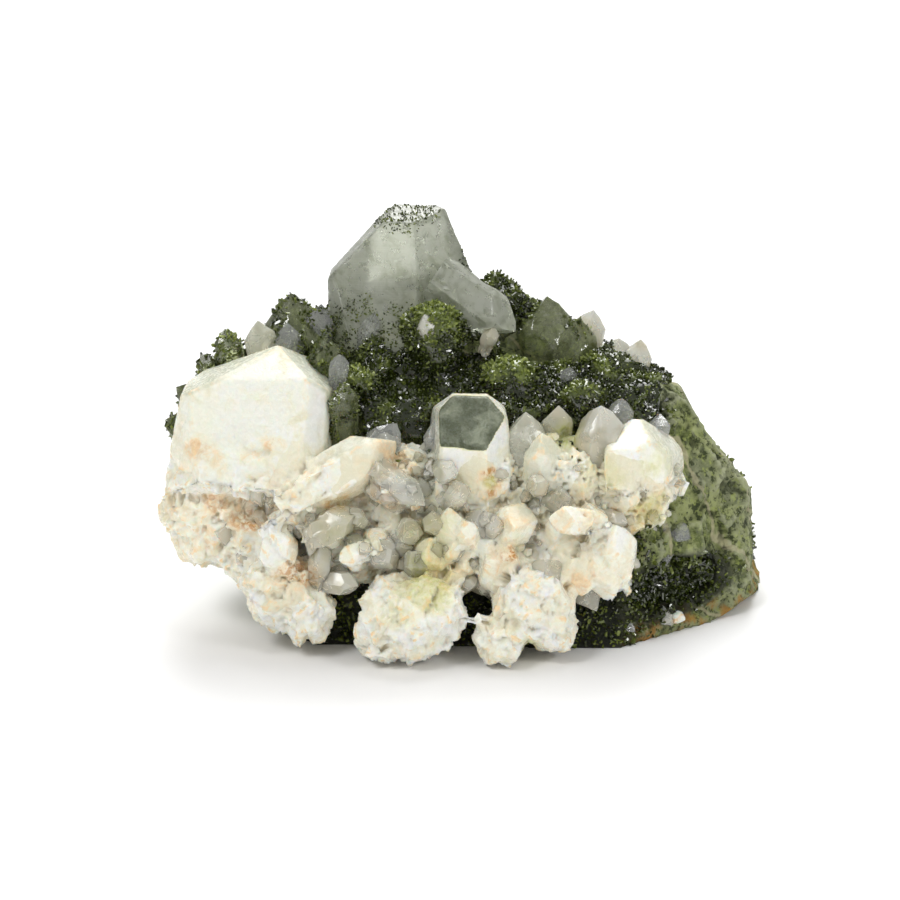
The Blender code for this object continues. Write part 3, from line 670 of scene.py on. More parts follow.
# small ones, too small for the solids, at the foot of the right end and over the pocket
SMALL_POINTS = (
    Point(CLEAR, 33.8, -20.6, 2.6, 98, -40, 3.6, 9.0),
    Point(CLOUDY, 30.6, -20.4, 3.6, 84, -100, 3.8, 7.0),
    Point(CLOUDY, 40.2, -17.6, 2.2, 100, -70, 4.2, 7.0),
    Point(MILKY, 43.4, -15.6, 2.6, 90, -40, 3.2, 6.0),
    Point(CLEAR, 39.2, -13.4, 11.6, 168, -60, 3.6, 9.0),
    Point(CLEAR, 42.6, -11.6, 20.6, 30, -50, 5.6, 10.0),
    Point(CLEAR, 45.2, -9.0, 17.0, 46, -40, 4.6, 9.0),
    Point(CLEAR, -19.6, -7.0, 51.6, 4, 30, 4.4, 9.0),
    Point(CLEAR, -14.0, 3.4, 56.0, 10, -30, 4.6, 9.0),
    Point(CLOUDY, -4.6, -2.4, 57.4, 14, -140, 4.2, 9.0),
    Point(CLEAR, -6.6, 0.6, 56.6, 22, 170, 3.6, 8.0),
    Point(CLOUDY, 14.0, -5.0, 46.8, 12, -70, 2.6, 7.0),
    Point(CLEAR, 21.8, -3.0, 47.6, 16, -60, 3.8, 7.0),
    Point(CLOUDY, 8.0, 1.0, 54.0, 20, -40, 3.4, 7.0),
    Point(CLEAR, 35.0, -4.6, 43.4, 26, -60, 4.4, 8.0),
    Point(CLEAR, 38.0, -7.6, 40.6, 12, -40, 4.6, 9.0),
)
LEFT_POINTS = (
    Point(SMOKY, -40.8, 2.0, 53.6, 8, 175, 5.6, 16.0),
    Point(SMOKY, -46.4, 3.0, 48.4, 34, 172, 7.6, 17.0),
    Point(SMOKY, -51.2, 2.5, 42.4, 50, 178, 7.6, 16.0),
    Point(SMOKY, -53.4, 0.5, 36.0, 66, -176, 8.0, 16.0),
    Point(CLOUDY, -35.4, 1.5, 55.4, 12, 165, 6.6, 18.0),
    Point(SMOKY, -29.6, 6.0, 60.0, 6, -150, 14.0, 26.0),
    Point(SMOKY, -22.4, -3.0, 53.6, 12, -80, 6.4, 18.0),
    Point(CLEAR, -23.4, 7.0, 57.2, 14, 30, 7.0, 18.0),
    Point(CLOUDY, -43.0, 9.0, 47.0, 30, 150, 7.0, 16.0),
    Point(CLEAR, -29.4, -0.5, 55.2, 4, -120, 5.2, 18.0),
)
BACK_POINTS = (
    Point(SMOKY, 17.6, 9.5, 58.6, 3, -90, 11.4, 24.0),
    Point(SMOKY, 23.6, 7.5, 54.6, 4, 10, 8.2, 18.0),
    Point(CLOUDY, 27.0, 13.5, 54.4, 16, 30, 8.0, 16.0),
    Point(GREY, 13.4, 3.0, 50.4, 122, -16, 10.4, 20.0),
    Point(GREY, 1.6, 9.0, 61.4, 34, 30, 8.0, 16.0),
    Point(SMOKY, 9.6, 15.0, 58.6, 8, 80, 7.5, 16.0),
)
RIGHT_POINTS = (
    Point(CLOUDY, 31.4, 8.0, 50.2, 10, -60, 6.4, 15.0),
    Point(CLOUDY, 35.6, 8.5, 49.6, 16, 20, 6.0, 15.0),
    Point(CLEAR, 35.4, 2.0, 46.4, 18, -40, 7.0, 15.0),
    Point(CLEAR, 39.2, 0.5, 42.8, 24, -25, 6.4, 15.0),
    Point(SMOKY, 29.6, 1.5, 47.8, 12, -90, 6.0, 14.0),
    Point(CLEAR, 40.4, 6.5, 41.6, 34, 10, 6.0, 14.0),
)
RHOMB_RISE = 38.2
ROOT_FLARE = 1.08
LARGE_FACE_SETBACK = (0.0, 0.08)
SMALL_FACE_SETBACK = (0.15, 0.45)
FLATTENING = (0.78, 1.0)
FILLERS = 24
SMALL_FILLERS = 40
FILLER_WIDTH = (3.4, 5.4)
FILLER_OUT = 18.5
FILLER_SPREAD_X = (-44.0, 36.0)
SMALL_FILLER_OUT = 18.6
SMALL_FILLER_SPREAD_X = (-30.0, 38.0)
FILLER_SPREAD_Z = (13.0, 34.0)
FILLER_FACING = -90
FILLER_FAN = 0.9


def split_long_edges(bm, longest):
    """Triangulates, and halves long edges a few times over."""
    bmesh.ops.triangulate(bm, faces=bm.faces[:])
    for _ in range(6):
        long_edges = [e for e in bm.edges if e.calc_length() > longest]
        if not long_edges:
            break
        bmesh.ops.subdivide_edges(bm, edges=long_edges, cuts=1)
        bmesh.ops.triangulate(bm, faces=bm.faces[:])


def upright_to(thing, twist=0.0):
    """The move that takes an upright crystal at the origin to its place and lean."""
    lean = math.radians(thing.lean)
    axis = toward(thing.toward, 0) * math.sin(lean) + Vector((0, 0, math.cos(lean)))
    tilt = Vector((0, 0, 1)).rotation_difference(axis).to_matrix().to_4x4()
    place = Matrix.Translation(Vector((thing.x, thing.y, thing.z)) * MM)
    return place @ tilt @ Matrix.Rotation(math.radians(twist), 4, "Z")


def quartz_point(point, seed):
    rng = random.Random(seed)
    radius, length = point.width * MM / 2, point.length * MM
    bm = bmesh.new()
    bmesh.ops.create_cone(
        bm, cap_ends=True, segments=6, radius1=radius * ROOT_FLARE, radius2=radius, depth=length + radius
    )
    bmesh.ops.translate(bm, verts=bm.verts, vec=(0, 0, (radius - length) / 2))
    for k in range(6):
        setback = radius * (rng.uniform(*LARGE_FACE_SETBACK) if k % 2 else rng.uniform(*SMALL_FACE_SETBACK))
        cleave(bm, Vector((0, 0, -setback)), toward(30 + 60 * k, RHOMB_RISE))
    bmesh.ops.scale(bm, vec=(1, rng.uniform(*FLATTENING), 1), verts=bm.verts)
    bmesh.ops.transform(bm, matrix=upright_to(point, seed * 47 % 60), verts=bm.verts)
    stop_above_floor(bm)
    return bm


def filler_points(count, seed, out, spread_x):
    """Small points set over the front of the cluster, leaning outwards."""
    rng = random.Random(seed)
    found = []
    for i in range(count):
        x, z = rng.uniform(*spread_x), rng.uniform(*FILLER_SPREAD_Z)
        bulge = 1 - ((x + 2) / 62) ** 2 - ((z - 20) / 46) ** 2
        y = -8.0 - out * bulge
        width = rng.uniform(*FILLER_WIDTH)
        away = FILLER_FACING + x * FILLER_FAN + rng.uniform(-25, 25)
        lean = rng.uniform(30, 95)
        if x < -18 and z > 25:
            continue
        kinds = (CLOUDY, MILKY, MILKY) if out == FILLER_OUT else (MILKY, CLOUDY, CLOUDY)
        found.append(Point(kinds[i % 3], x, y, z, lean, away, width, width * 2.2))
    return tuple(found)


def wear(bm, depth):
    """Wears a crystal's edges and corners down, here more and there less."""
    bm.normal_update()
    sharp = {v for e in bm.edges if len(e.link_faces) == 2 and e.calc_face_angle(0) > 0.3 for v in e.verts}
    moves = [(v, v.normal * depth * (0.6 + 0.6 * noise.noise(v.co / (1.4 * MM)))) for v in sharp]
    for v, move in moves:
        v.co -= move


Fracture = namedtuple("Fracture", "x y z azimuth rise")
WINDOW_FACE = Fracture(3.6, -16.0, 42.6, -92, 45)
Grown = namedtuple("Grown", "body along root tint")


def grow(bm, tip, axis, length, tint, cell, edge):
    """Refines and wears one crystal, and notes how far each of its points is from the tip."""
    split_long_edges(bm, cell)
    wear(bm, edge)
    along = [(tip - v.co).dot(axis) for v in bm.verts]
    root = [a / length for a in along]
    return Grown(bm, along, root, [tint] * len(along))


def grown_point(point, seed):
    up = upright_to(point).to_3x3() @ Vector((0, 0, 1))
    tint = random.Random(seed * 7 + 1).random()
    tip = Vector((point.x, point.y, point.z)) * MM
    edge = (0.008 + 0.014 * tint) * point.width * MM
    return grow(quartz_point(point, seed), tip, up, point.length * MM, tint, 1.1 * MM, edge)


def in_window(places):
    """1 on the clear face that lets the green inside the middle crystal of the row show."""
    away = places / MM - np.array((WINDOW_FACE.x, WINDOW_FACE.y, WINDOW_FACE.z))
    over = away @ np.array(toward(WINDOW_FACE.azimuth, WINDOW_FACE.rise))
    near = smoothstep(-np.abs(away[:, 0]), -7.5, -7.0) * smoothstep(-np.abs(away[:, 2]), -5.5, -5.0)
    return smoothstep(over, -0.55, -0.35) * near


def clear_at(places):
    """How clear the quartz is: some faces of the largest crystals are grey and less milky."""
    found = np.zeros(len(places))
    for face, reach, strength in CLEAR_FACES:
        away = places / MM - np.array((face.x, face.y, face.z))
        over = away @ np.array(toward(face.azimuth, face.rise))
        near = smoothstep(-np.linalg.norm(away, axis=1), -reach, 1 - reach)
        found = np.maximum(found, strength * near * smoothstep(over, -0.8, -0.4))
    return found


def mark(thing, tint, root, along, ridge):
    """Keeps on the mesh what the quartz's colours need to know."""
    at = places_of(thing)
    store(thing, "tint", tint)
    store(thing, "root", root)
    store(thing, "along", along)
    store(thing, "ridge", ridge)
    store(thing, "stain", stain_at(at, STAINS))
    store(thing, "green", np.maximum(stain_at(at, GREENS), 2 * in_window(at)))
    store(thing, "clear", clear_at(at))


def pit(thing, root, pitting):
    """Roughens a crystal's faces, most at its root."""
    at, out = places_of(thing), normals_of(thing)
    rough = facets_at(at, 3.2 * MM, 1.3) * 0.6 + facets_at(at, 1.5 * MM, 1.3) * 0.6 - 0.7 * MM
    wave = noise_at(at, 3.2 * MM) * 0.05 * MM - 0.04 * MM
    relief = wave + rough * smoothstep(root + noise_at(at, 4 * MM, 3.0) * 0.3, 0.45, 0.9) * pitting
    steps = facets_at(at, 5.0 * MM, 1.0) / (5.0 * MM) + 0.5 * facets_at(at, 2.4 * MM, 1.0) / (2.4 * MM) - 0.35
    relief += steps * BREAK_DEPTH * stain_at(at, BROKEN)
    at += out * np.clip(relief, -2.2 * MM, 0)[:, None]
    move_to(thing, np.clip(at, np.array(cad_box[0]) + FLOOR_GAP, cad_box[1]))


def crystals(name, grown, pitting):
    """Joins crystals that still show one by one in an object."""
    along = [a for g in grown for a in g.along]
    root = np.array([r for g in grown for r in g.root])
    tint = [t for g in grown for t in g.tint]
    made = joined(name, [g.body for g in grown])
    made.data.shade_smooth()
    pit(made, root, pitting)
    made.data.set_sharp_from_angle(angle=math.radians(28))
    mark(made, tint, root, along, np.zeros(len(root)))
    return made


def grown_together(name, grown, lumps, seed, cell):
    """Fuses crystals and the lumps that carry them into one skin, each face still flat."""
    along = [a for g in grown for a in g.along]
    root = [r for g in grown for r in g.root]
    tint = [t for g in grown for t in g.tint]
    masses = [lump_body(lump, seed + i) for i, lump in enumerate(lumps)]
    of_lumps = sum(len(bm.verts) for bm in masses)
    along += [0.0] * of_lumps
    root += [0.8] * of_lumps
    tint += [0.5] * of_lumps
    apart = joined(name + "_apart", [g.body for g in grown] + masses)
    finder = KDTree(len(apart.data.vertices))
    for i, v in enumerate(apart.data.vertices):
        finder.insert(v.co, i)
    finder.balance()

    made = object_of(apart.data.copy(), name)
    remesh(made, cell)
    wrap = made.modifiers.new("flatten", "SHRINKWRAP")
    wrap.target = apart
    take_result(made)
    bpy.data.objects.remove(apart)
    made.data.set_sharp_from_angle(angle=math.radians(32))
    nearest = [finder.find(v.co)[1] for v in made.data.vertices]
    root = np.array(root)[nearest]
    pit(made, root, 1.0)
    ridge = np.clip(standing_out(made, 12) / (0.28 * MM), -2, 2)
    mark(made, np.array(tint)[nearest], root, np.array(along)[nearest], ridge)
    return made


def cloudy_material():
    made, tree, shader = new_material("cloudy_quartz")
    colour = quartz_colour(
        tree, rgb(252, 249, 234), rgb(222, 216, 192), rgb(242, 218, 182), rgb(196, 140, 66)
    )
    tree.links.new(colour, shader.inputs["Base Color"])
    shader.inputs["Transmission Weight"].default_value = 0.45
    shader.inputs["Subsurface Weight"].default_value = 0.6
    shader.inputs["Subsurface Radius"].default_value = (1.0, 0.9, 0.8)
    shader.inputs["Subsurface Scale"].default_value = 2.0 * MM
    shader.inputs["IOR"].default_value = 1.544
    veil = noise_value(tree, 2.2 * MM, 5.0, 0.6, 0.8)
    tree.links.new(band(tree, veil, 0.2, 1.3), shader.inputs["Roughness"])
    tree.links.new(bump(tree, veil, 0.25 * MM, 0.5), shader.inputs["Normal"])
    return made


def glass_material(name, tint, density, pale, dull, clearness=0.82, haze=0.06):
    """See-through quartz: tinted in its depth, with grown lines across its faces."""
    made, tree, shader = new_material(name)
    veil = band(tree, noise_value(tree, 3.4 * MM, 4.0, 0.6, 0.9), 0.40, 0.72)
    tree.links.new(blend(tree, veil, pale, dull), shader.inputs["Base Color"])
    shader.inputs["Transmission Weight"].default_value = clearness
    shader.inputs["IOR"].default_value = 1.544
    smear = noise_value(tree, 1.6 * MM, 4.0, 0.6)
    rough = maths(tree, "MULTIPLY_ADD", band(tree, smear, 0.35, 0.8), 0.30, haze)
    tree.links.new(rough, shader.inputs["Roughness"])
    lines = add(
        tree, "ShaderNodeTexNoise", {"noise_dimensions": "1D"}, W=attribute(tree, "along"),
        Scale=1 / (0.35 * MM), Detail=3.0,
    ).outputs["Fac"]
    tree.links.new(bump(tree, maths(tree, "ADD", lines, smear), 0.08 * MM, 0.35), shader.inputs["Normal"])
    depth = add(tree, "ShaderNodeVolumeAbsorption", Color=tint, Density=density)
    tree.links.new(depth.outputs[0], tree.nodes["Material Output"].inputs["Volume"])
    return made


cloudy = cloudy_material()
clear = glass_material("clear_quartz", rgb(216, 222, 220), 12.0, rgb(252, 253, 252), rgb(232, 236, 232))
smoky = glass_material("green_smoky_quartz", rgb(150, 162, 92), 70.0, rgb(216, 224, 176), rgb(140, 152, 94))
grey = glass_material(
    "grey_quartz", rgb(220, 226, 208), 8.0, rgb(238, 241, 226), rgb(188, 193, 170), 0.72, 0.26
)
QUARTZ = {
    MILKY: (milky, "milky_quartz", 1.0),
    CLOUDY: (cloudy, "milky_quartz", 0.7),
    CLEAR: (clear, "clear_quartz", 0.35),
    GREY: (grey, "clear_quartz", 0.5),
    SMOKY: (smoky, "clear_quartz", 0.4),
}


def grow_cluster(name, node, points, seed, blocks=(), lumps=()):
    """Grows a cluster's crystals, one object for each kind of quartz in it."""
    grown = {kind: [] for kind in QUARTZ}
    for i, point in enumerate(points):
        grown[point.kind].append(grown_point(point, seed + i))
    for kind, block in blocks:
        grown[kind].append(block)
    made = {}
    for kind, members in grown.items():
        material, slot, pitting = QUARTZ[kind]
        if kind == MILKY and lumps:
            made[kind] = grown_together(name + "_" + kind, members, lumps, seed, 0.44 * MM)
        elif members:
            made[kind] = crystals(name + "_" + kind, members, pitting)
        if kind in made:
            place_piece(made[kind], material, slot, node)
    return made


# The largest crystals
# A milky crystal at the left, a clear one at the top, one with a dark window, and a blocky one at
# the right. Each has its own faces, so each of them is placed.
Block = namedtuple("Block", "x y z lean toward width length")
LARGE_MILKY = Block(-35.0, -9.0, 39.0, 0, 0, 46.0, 32.0)
LARGE_MILKY_FACES = (
    Fracture(-33.0, -7.0, 51.2, 172, 66),
    Fracture(-29.5, -7.0, 51.4, 4, 52),
    Fracture(-33.0, -12.6, 49.0, -93, 25),
    Fracture(-33.0, -8.6, 51.2, -95, 55),
    Fracture(-32.0, -4.5, 51.2, 100, 50),
    Fracture(-47.8, -10.0, 45.0, 178, 12),
    Fracture(-46.0, -17.5, 36.0, -140, 14),
    Fracture(-20.8, -10.0, 40.0, -12, 2),
    Fracture(-24.5, -17.5, 36.0, -48, 16),
    Fracture(-34.0, 3.5, 34.0, 92, 2),
    Fracture(-46.0, 0.0, 34.0, 145, 4),
    Fracture(-34.0, -19.0, 27.0, -100, -42),
)
LARGE_CLEAR = Block(-9.0, 13.0, 56.0, 0, 0, 44.0, 36.0)
LARGE_CLEAR_FACES = (
    Fracture(-22.4, 10.0, 50.0, 176, 0),
    Fracture(-20.0, 5.4, 50.0, -140, 2),
    Fracture(-16.4, 11.0, 66.4, 178, 45),
    Fracture(-6.0, 12.0, 71.6, -100, 80),
    Fracture(1.9, 12.0, 66.8, -4, 26),
    Fracture(4.3, 11.0, 55.0, 0, 0),
    Fracture(-12.0, 5.6, 60.0, -98, 17),
    Fracture(-4.6, 7.2, 62.0, -48, 14),
    Fracture(-8.0, 21.0, 60.0, 84, 20),
    Fracture(-18.0, 18.0, 60.0, 135, 16),
    Fracture(1.0, 18.0, 60.0, 40, 18),
)
WINDOW_CRYSTAL = Block(4.2, -13.5, 32.0, 0, 0, 22.0, 26.0)
WINDOW_CRYSTAL_FACES = (
    WINDOW_FACE,
    Fracture(-2.9, -14.0, 36.0, -172, 6),
    Fracture(3.0, -20.8, 32.0, -96, 4),
    Fracture(8.6, -19.0, 32.0, -42, 6),
    Fracture(11.2, -14.0, 32.0, 4, 6),
    Fracture(-1.4, -14.0, 43.4, 176, 46),
    Fracture(8.8, -14.0, 43.0, 2, 46),
    Fracture(4.0, -9.0, 42.0, 88, 40),
)
RIGHT_BLOCK = Block(32.5, -12.5, 33.0, 0, 0, 24.0, 17.0)
RIGHT_BLOCK_FACES = (
    Fracture(33.0, -14.0, 38.4, -84, 66),
    Fracture(32.0, -19.2, 32.0, -86, 12),
    Fracture(40.4, -12.0, 30.0, -22, 8),
    Fracture(38.6, -11.0, 35.4, -12, 42),
    Fracture(36.0, -17.0, 30.0, -54, 8),
    Fracture(27.0, -14.0, 32.0, 180, 4),
    Fracture(28.6, -14.0, 37.4, 172, 52),
    Fracture(33.0, -8.5, 38.0, 88, 45),
    Fracture(33.0, -17.0, 26.5, -88, -50),
)


# The clearer faces, how far they reach in mm, and how clear they are.
CLEAR_FACES = (
    (LARGE_MILKY_FACES[0], 17, 0.75),
    (LARGE_MILKY_FACES[1], 17, 0.8),
    (LARGE_MILKY_FACES[7], 13, 0.7),
    (RIGHT_BLOCK_FACES[2], 9, 0.7),
    (RIGHT_BLOCK_FACES[3], 9, 0.6),
    (WINDOW_CRYSTAL_FACES[1], 12, 0.6),
    (WINDOW_CRYSTAL_FACES[4], 12, 0.6),
)


def grown_block(block, faces, tint, cell, edge):
    bm = bmesh.new()
    radius = block.width * MM / 2
    bmesh.ops.create_cone(
        bm, cap_ends=True, segments=6, radius1=radius, radius2=radius, depth=block.length * MM
    )
    bmesh.ops.transform(bm, matrix=upright_to(block), verts=bm.verts)
    for f in faces:
        cleave(bm, Vector((f.x, f.y, f.z)) * MM, toward(f.azimuth, f.rise))
    top = max(v.co.z for v in bm.verts)
    foot = min(v.co.z for v in bm.verts)
    return grow(bm, Vector((0, 0, top)), Vector((0, 0, 1)), top - foot, tint, cell, edge)


front = grow_cluster(
    "front_crystals",
    "milky_quartz_front",
    FRONT_POINTS
    + filler_points(FILLERS, 11, FILLER_OUT, FILLER_SPREAD_X)
    + filler_points(SMALL_FILLERS, 12, SMALL_FILLER_OUT, SMALL_FILLER_SPREAD_X)
    + SMALL_POINTS,
    100,
    (
        (MILKY, grown_block(LARGE_MILKY, LARGE_MILKY_FACES, 0.9, 0.8 * MM, 0.4 * MM)),
        (MILKY, grown_block(WINDOW_CRYSTAL, WINDOW_CRYSTAL_FACES, 0.5, 0.8 * MM, 0.15 * MM)),
        (MILKY, grown_block(RIGHT_BLOCK, RIGHT_BLOCK_FACES, 0.7, 0.8 * MM, 0.4 * MM)),
    ),
    FRONT_LUMPS,
)
top = grow_cluster(
    "large_clear_crystal",
    "large_clear_quartz",
    (),
    200,
    ((GREY, grown_block(LARGE_CLEAR, LARGE_CLEAR_FACES, 0.5, 1.0 * MM, 0.3 * MM)),),
)
left = grow_cluster("left_crystals", "left_quartz_points", LEFT_POINTS, 300)
back = grow_cluster("back_crystals", "back_quartz_points", BACK_POINTS, 400)
right = grow_cluster("right_crystals", "right_quartz_points", RIGHT_POINTS, 500)


# Epidote crust
# Dark green epidote covers the sloping top like sugar, drawn bright pistachio green where it stands up in
# mounds: partly its own paler colour, partly painted light on the tops that face up. Its base is the
# node's own solid, roughened, and thousands of small prisms grow on it.
def epidote_grain():
    """One small crystal, a flat prism with a wedge for its end, 1 m across until it is scaled."""
    bm = bmesh.new()
    bmesh.ops.create_cone(bm, cap_ends=True, segments=4, radius1=0.44, radius2=0.40, depth=1.5)
    bmesh.ops.scale(bm, vec=(1, 0.66, 1), verts=bm.verts)
    bmesh.ops.translate(bm, vec=(0, 0, 0.3), verts=bm.verts)
    cleave(bm, Vector((0, 0, 0.95)), toward(20, 42))
    cleave(bm, Vector((0, 0, 0.95)), toward(200, 50))
    return bm


def quartz_grain():
    """One small quartz point."""
    bm = bmesh.new()
    bmesh.ops.create_cone(bm, cap_ends=True, segments=6, radius1=0.42, radius2=0.38, depth=1.2)
    bmesh.ops.translate(bm, vec=(0, 0, -0.05), verts=bm.verts)
    for k in range(3):
        cleave(bm, Vector((0, 0, 0.61)), toward(30 + 120 * k, RHOMB_RISE))
    return bm


def seed_of(grain, name):
    mesh = bpy.data.meshes.new(name)
    grain.to_mesh(mesh)
    grain.free()
    return object_of(mesh, name)


def scatter_tree():
    """Grows grains out of a surface, thickly where its cover is high, each with its own tint."""
    tree = bpy.data.node_groups.new("grow_grains", "GeometryNodeTree")
    sockets = (
        ("Surface", "NodeSocketGeometry"), ("Grain", "NodeSocketObject"), ("Density", "NodeSocketFloat"),
        ("Apart", "NodeSocketFloat"), ("Smallest", "NodeSocketFloat"), ("Largest", "NodeSocketFloat"),
        ("Lean", "NodeSocketFloat"), ("Seed", "NodeSocketInt"), ("Material", "NodeSocketMaterial"),
    )
    for name, kind in sockets:
        tree.interface.new_socket(name, in_out="INPUT", socket_type=kind)
    tree.interface.new_socket("Grains", in_out="OUTPUT", socket_type="NodeSocketGeometry")
    given = tree.nodes.new("NodeGroupInput").outputs
    cover = add(tree, "GeometryNodeInputNamedAttribute", {"data_type": "FLOAT"}, Name="cover")
    points = add(
        tree, "GeometryNodeDistributePointsOnFaces", {"distribute_method": "POISSON"},
        Mesh=given["Surface"], Density_Max=given["Density"], Distance_Min=given["Apart"],
        Density_Factor=cover.outputs["Attribute"], Seed=given["Seed"],
    )
    lean = add(tree, "FunctionNodeRandomValue", {"data_type": "FLOAT_VECTOR"}, Seed=given["Seed"])
    back = add(tree, "ShaderNodeVectorMath", {"operation": "SCALE"}, n0=(1.0, 1.0, 0.0), Scale=given["Lean"])
    spread = add(tree, "ShaderNodeVectorMath", {"operation": "ADD"}, n0=back.outputs[0], n1=(0, 0, 3.14))
    flip = add(
        tree, "ShaderNodeVectorMath", {"operation": "MULTIPLY"}, n0=spread.outputs[0], n1=(-1, -1, -1)
    )
    tree.links.new(flip.outputs[0], lean.inputs[0])
    tree.links.new(spread.outputs[0], lean.inputs[1])
    turn = add(tree, "FunctionNodeEulerToRotation", Euler=lean.outputs[0])
    facing = add(
        tree, "FunctionNodeRotateRotation", {"rotation_space": "LOCAL"},
        Rotation=points.outputs["Rotation"], Rotate_By=turn.outputs[0],
    )
    size = add(tree, "FunctionNodeRandomValue", {"data_type": "FLOAT"}, Seed=given["Seed"])
    tree.links.new(given["Smallest"], size.inputs[2])
    tree.links.new(given["Largest"], size.inputs[3])
    grain = add(tree, "GeometryNodeObjectInfo", Object=given["Grain"])
    grown = add(
        tree, "GeometryNodeInstanceOnPoints", Points=points.outputs["Points"],
        Instance=grain.outputs["Geometry"], Rotation=facing.outputs[0], Scale=size.outputs[1],
    )
    tint = add(tree, "FunctionNodeRandomValue", {"data_type": "FLOAT"})
    tinted = add(
        tree, "GeometryNodeStoreNamedAttribute", {"data_type": "FLOAT", "domain": "INSTANCE"},
        Geometry=grown.outputs[0], Name="tint", Value=tint.outputs[1],
    )
    real = add(tree, "GeometryNodeRealizeInstances", Geometry=tinted.outputs[0])
    coloured = add(tree, "GeometryNodeSetMaterial", Geometry=real.outputs[0], Material=given["Material"])
    out = tree.nodes.new("NodeGroupOutput")
    tree.links.new(coloured.outputs[0], out.inputs[0])
    return tree


grow_grains = scatter_tree()


def scatter(name, surface, cover, grain, material, density, apart, sizes, lean, seed):
    """Grains over a copy of a surface, as one plain mesh. Density is to the square millimetre."""
    ground = object_of(surface.data.copy(), name)
    store(ground, "cover", cover)
    step = ground.modifiers.new("grow", "NODES")
    step.node_group = grow_grains
    values = {
        "Grain": grain, "Density": density / MM ** 2, "Apart": apart, "Smallest": sizes[0],
        "Largest": sizes[1], "Lean": lean, "Seed": seed, "Material": material,
    }
    for item in grow_grains.interface.items_tree:
        if item.in_out == "INPUT" and item.name in values:
            step[item.identifier] = values[item.name]
    take_result(ground)
    return ground


def brightness(places):
    """How pale and yellow-green the epidote is drawn, most on the mounds and the upper left crystal: partly its own
    pistachio colour, partly painted light on what stands up.
    """
    found = np.zeros(len(places))
    for x, y, z, radius, strength in BRIGHT_EPIDOTE:
        away = np.linalg.norm((places / MM - np.array((x, y, z))) / radius, axis=1)
        found = np.maximum(found, strength * (1 - smoothstep(away, 0.45, 1.1)))
    return found


BRIGHT_EPIDOTE = (
    (-2.0, -1.0, 58.0, 7.5, 1.0),
    (4.0, 4.0, 60.0, 6.0, 0.9),
    (-41.0, 2.0, 54.0, 5.0, 1.0),
    (30.0, 1.0, 48.5, 5.5, 0.5),
    (12.0, -5.0, 48.5, 5.0, 0.35),
    (-17.0, -4.0, 48.0, 5.0, 0.3),
    (-8.0, -29.0, 16.0, 5.0, 0.5),
)


def epidote_material():
    """Glossy crystals from black-green through olive to pistachio."""
    made, tree, shader = new_material("epidote")
    tint = attribute(tree, "tint")
    dark = blend(tree, tint, rgb(14, 19, 4), rgb(64, 76, 20))
    fresh = blend(tree, tint, rgb(72, 86, 28), rgb(156, 168, 84))
    # The bright mask mixes in pale pistachio: partly the epidote's own colour, partly painted light on tops that face
    # up.
    colour = blend(tree, attribute(tree, "bright"), dark, fresh)
    pale = maths(tree, "MULTIPLY", band(tree, tint, 0.90, 0.97), 0.4)
    colour = blend(tree, pale, colour, rgb(156, 166, 92))
    tree.links.new(colour, shader.inputs["Base Color"])
    grain = noise_value(tree, 0.4 * MM, 3.0, 0.6)
    tree.links.new(band(tree, grain, 0.1, 2.2), shader.inputs["Roughness"])
    tree.links.new(bump(tree, grain, 0.06 * MM, 0.5), shader.inputs["Normal"])
    shader.inputs["IOR"].default_value = 1.74
    return made


epidote = epidote_material()
epidote_seed = seed_of(epidote_grain(), "epidote_seed")
quartz_seed = seed_of(quartz_grain(), "quartz_seed")


def finish_grains(grains, slot, *nodes):
    low, high = np.array(cad_box[0]), np.array(cad_box[1])
    low[2] = 0.2 * MM
    move_to(grains, np.clip(places_of(grains), low, high))
    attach(grains, "root")
    if nodes:
        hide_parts(*nodes)


def epidote_base(name, node, cell):
    base = copy_of_node(node, name)
    remesh(base, cell)
    at, out = places_of(base), normals_of(base)
    relief = facets_at(at, 2.4 * MM, 0.7) * 0.4 + noise_at(at, 4.6 * MM, 7.0) * 1.3 * MM - 0.9 * MM
    at += out * np.clip(relief, -1.8 * MM, 0.0)[:, None]
    move_to(base, at)
    store(base, "tint", np.clip(0.25 + 0.3 * noise_at(at, 1.2 * MM), 0, 0.6))
    # Painted highlight, in part: the epidote is drawn paler where it stands out and faces up, as if lit from above, on
    # top of its own pistachio places.
    proud = smoothstep(standing_out(base, 24), 0.0, 0.45 * MM) * smoothstep(out[:, 2], -0.4, 0.5)
    wander = 0.30 + 0.45 * smoothstep(noise_at(at, 9 * MM, 4.0), -0.3, 0.4)
    store(base, "bright", np.clip(proud * wander + brightness(at) * (0.35 + 0.65 * proud), 0, 1))
    place_piece(base, epidote, "epidote", node)
    return base


crust = epidote_base("epidote_crust_base", "epidote_crust", 0.8 * MM)
crust_cover = 0.8 + 0.2 * smoothstep(normals_of(crust)[:, 2], -0.3, 0.3)
finish_grains(
    scatter(
        "epidote_crust_grains", crust, crust_cover, epidote_seed, epidote, 5.0, 0.34 * MM,
        (0.35 * MM, 0.85 * MM), 0.8, 3,
    ),
    "epidote",
    "epidote_crust",
)

# Epidote in the pocket and round the foot
# The same small crystals line the pocket at the lower right, and fill the dark hollows behind and
# between the white lumps.
lining = epidote_base("pocket_lining", "pocket_epidote", 0.5 * MM)
finish_grains(
    scatter(
        "pocket_grains", lining, np.ones(len(lining.data.vertices)), epidote_seed, epidote, 3.0,
        0.4 * MM, (0.4 * MM, 1.0 * MM), 0.9, 5,
    ),
    "epidote",
    "pocket_epidote",
)


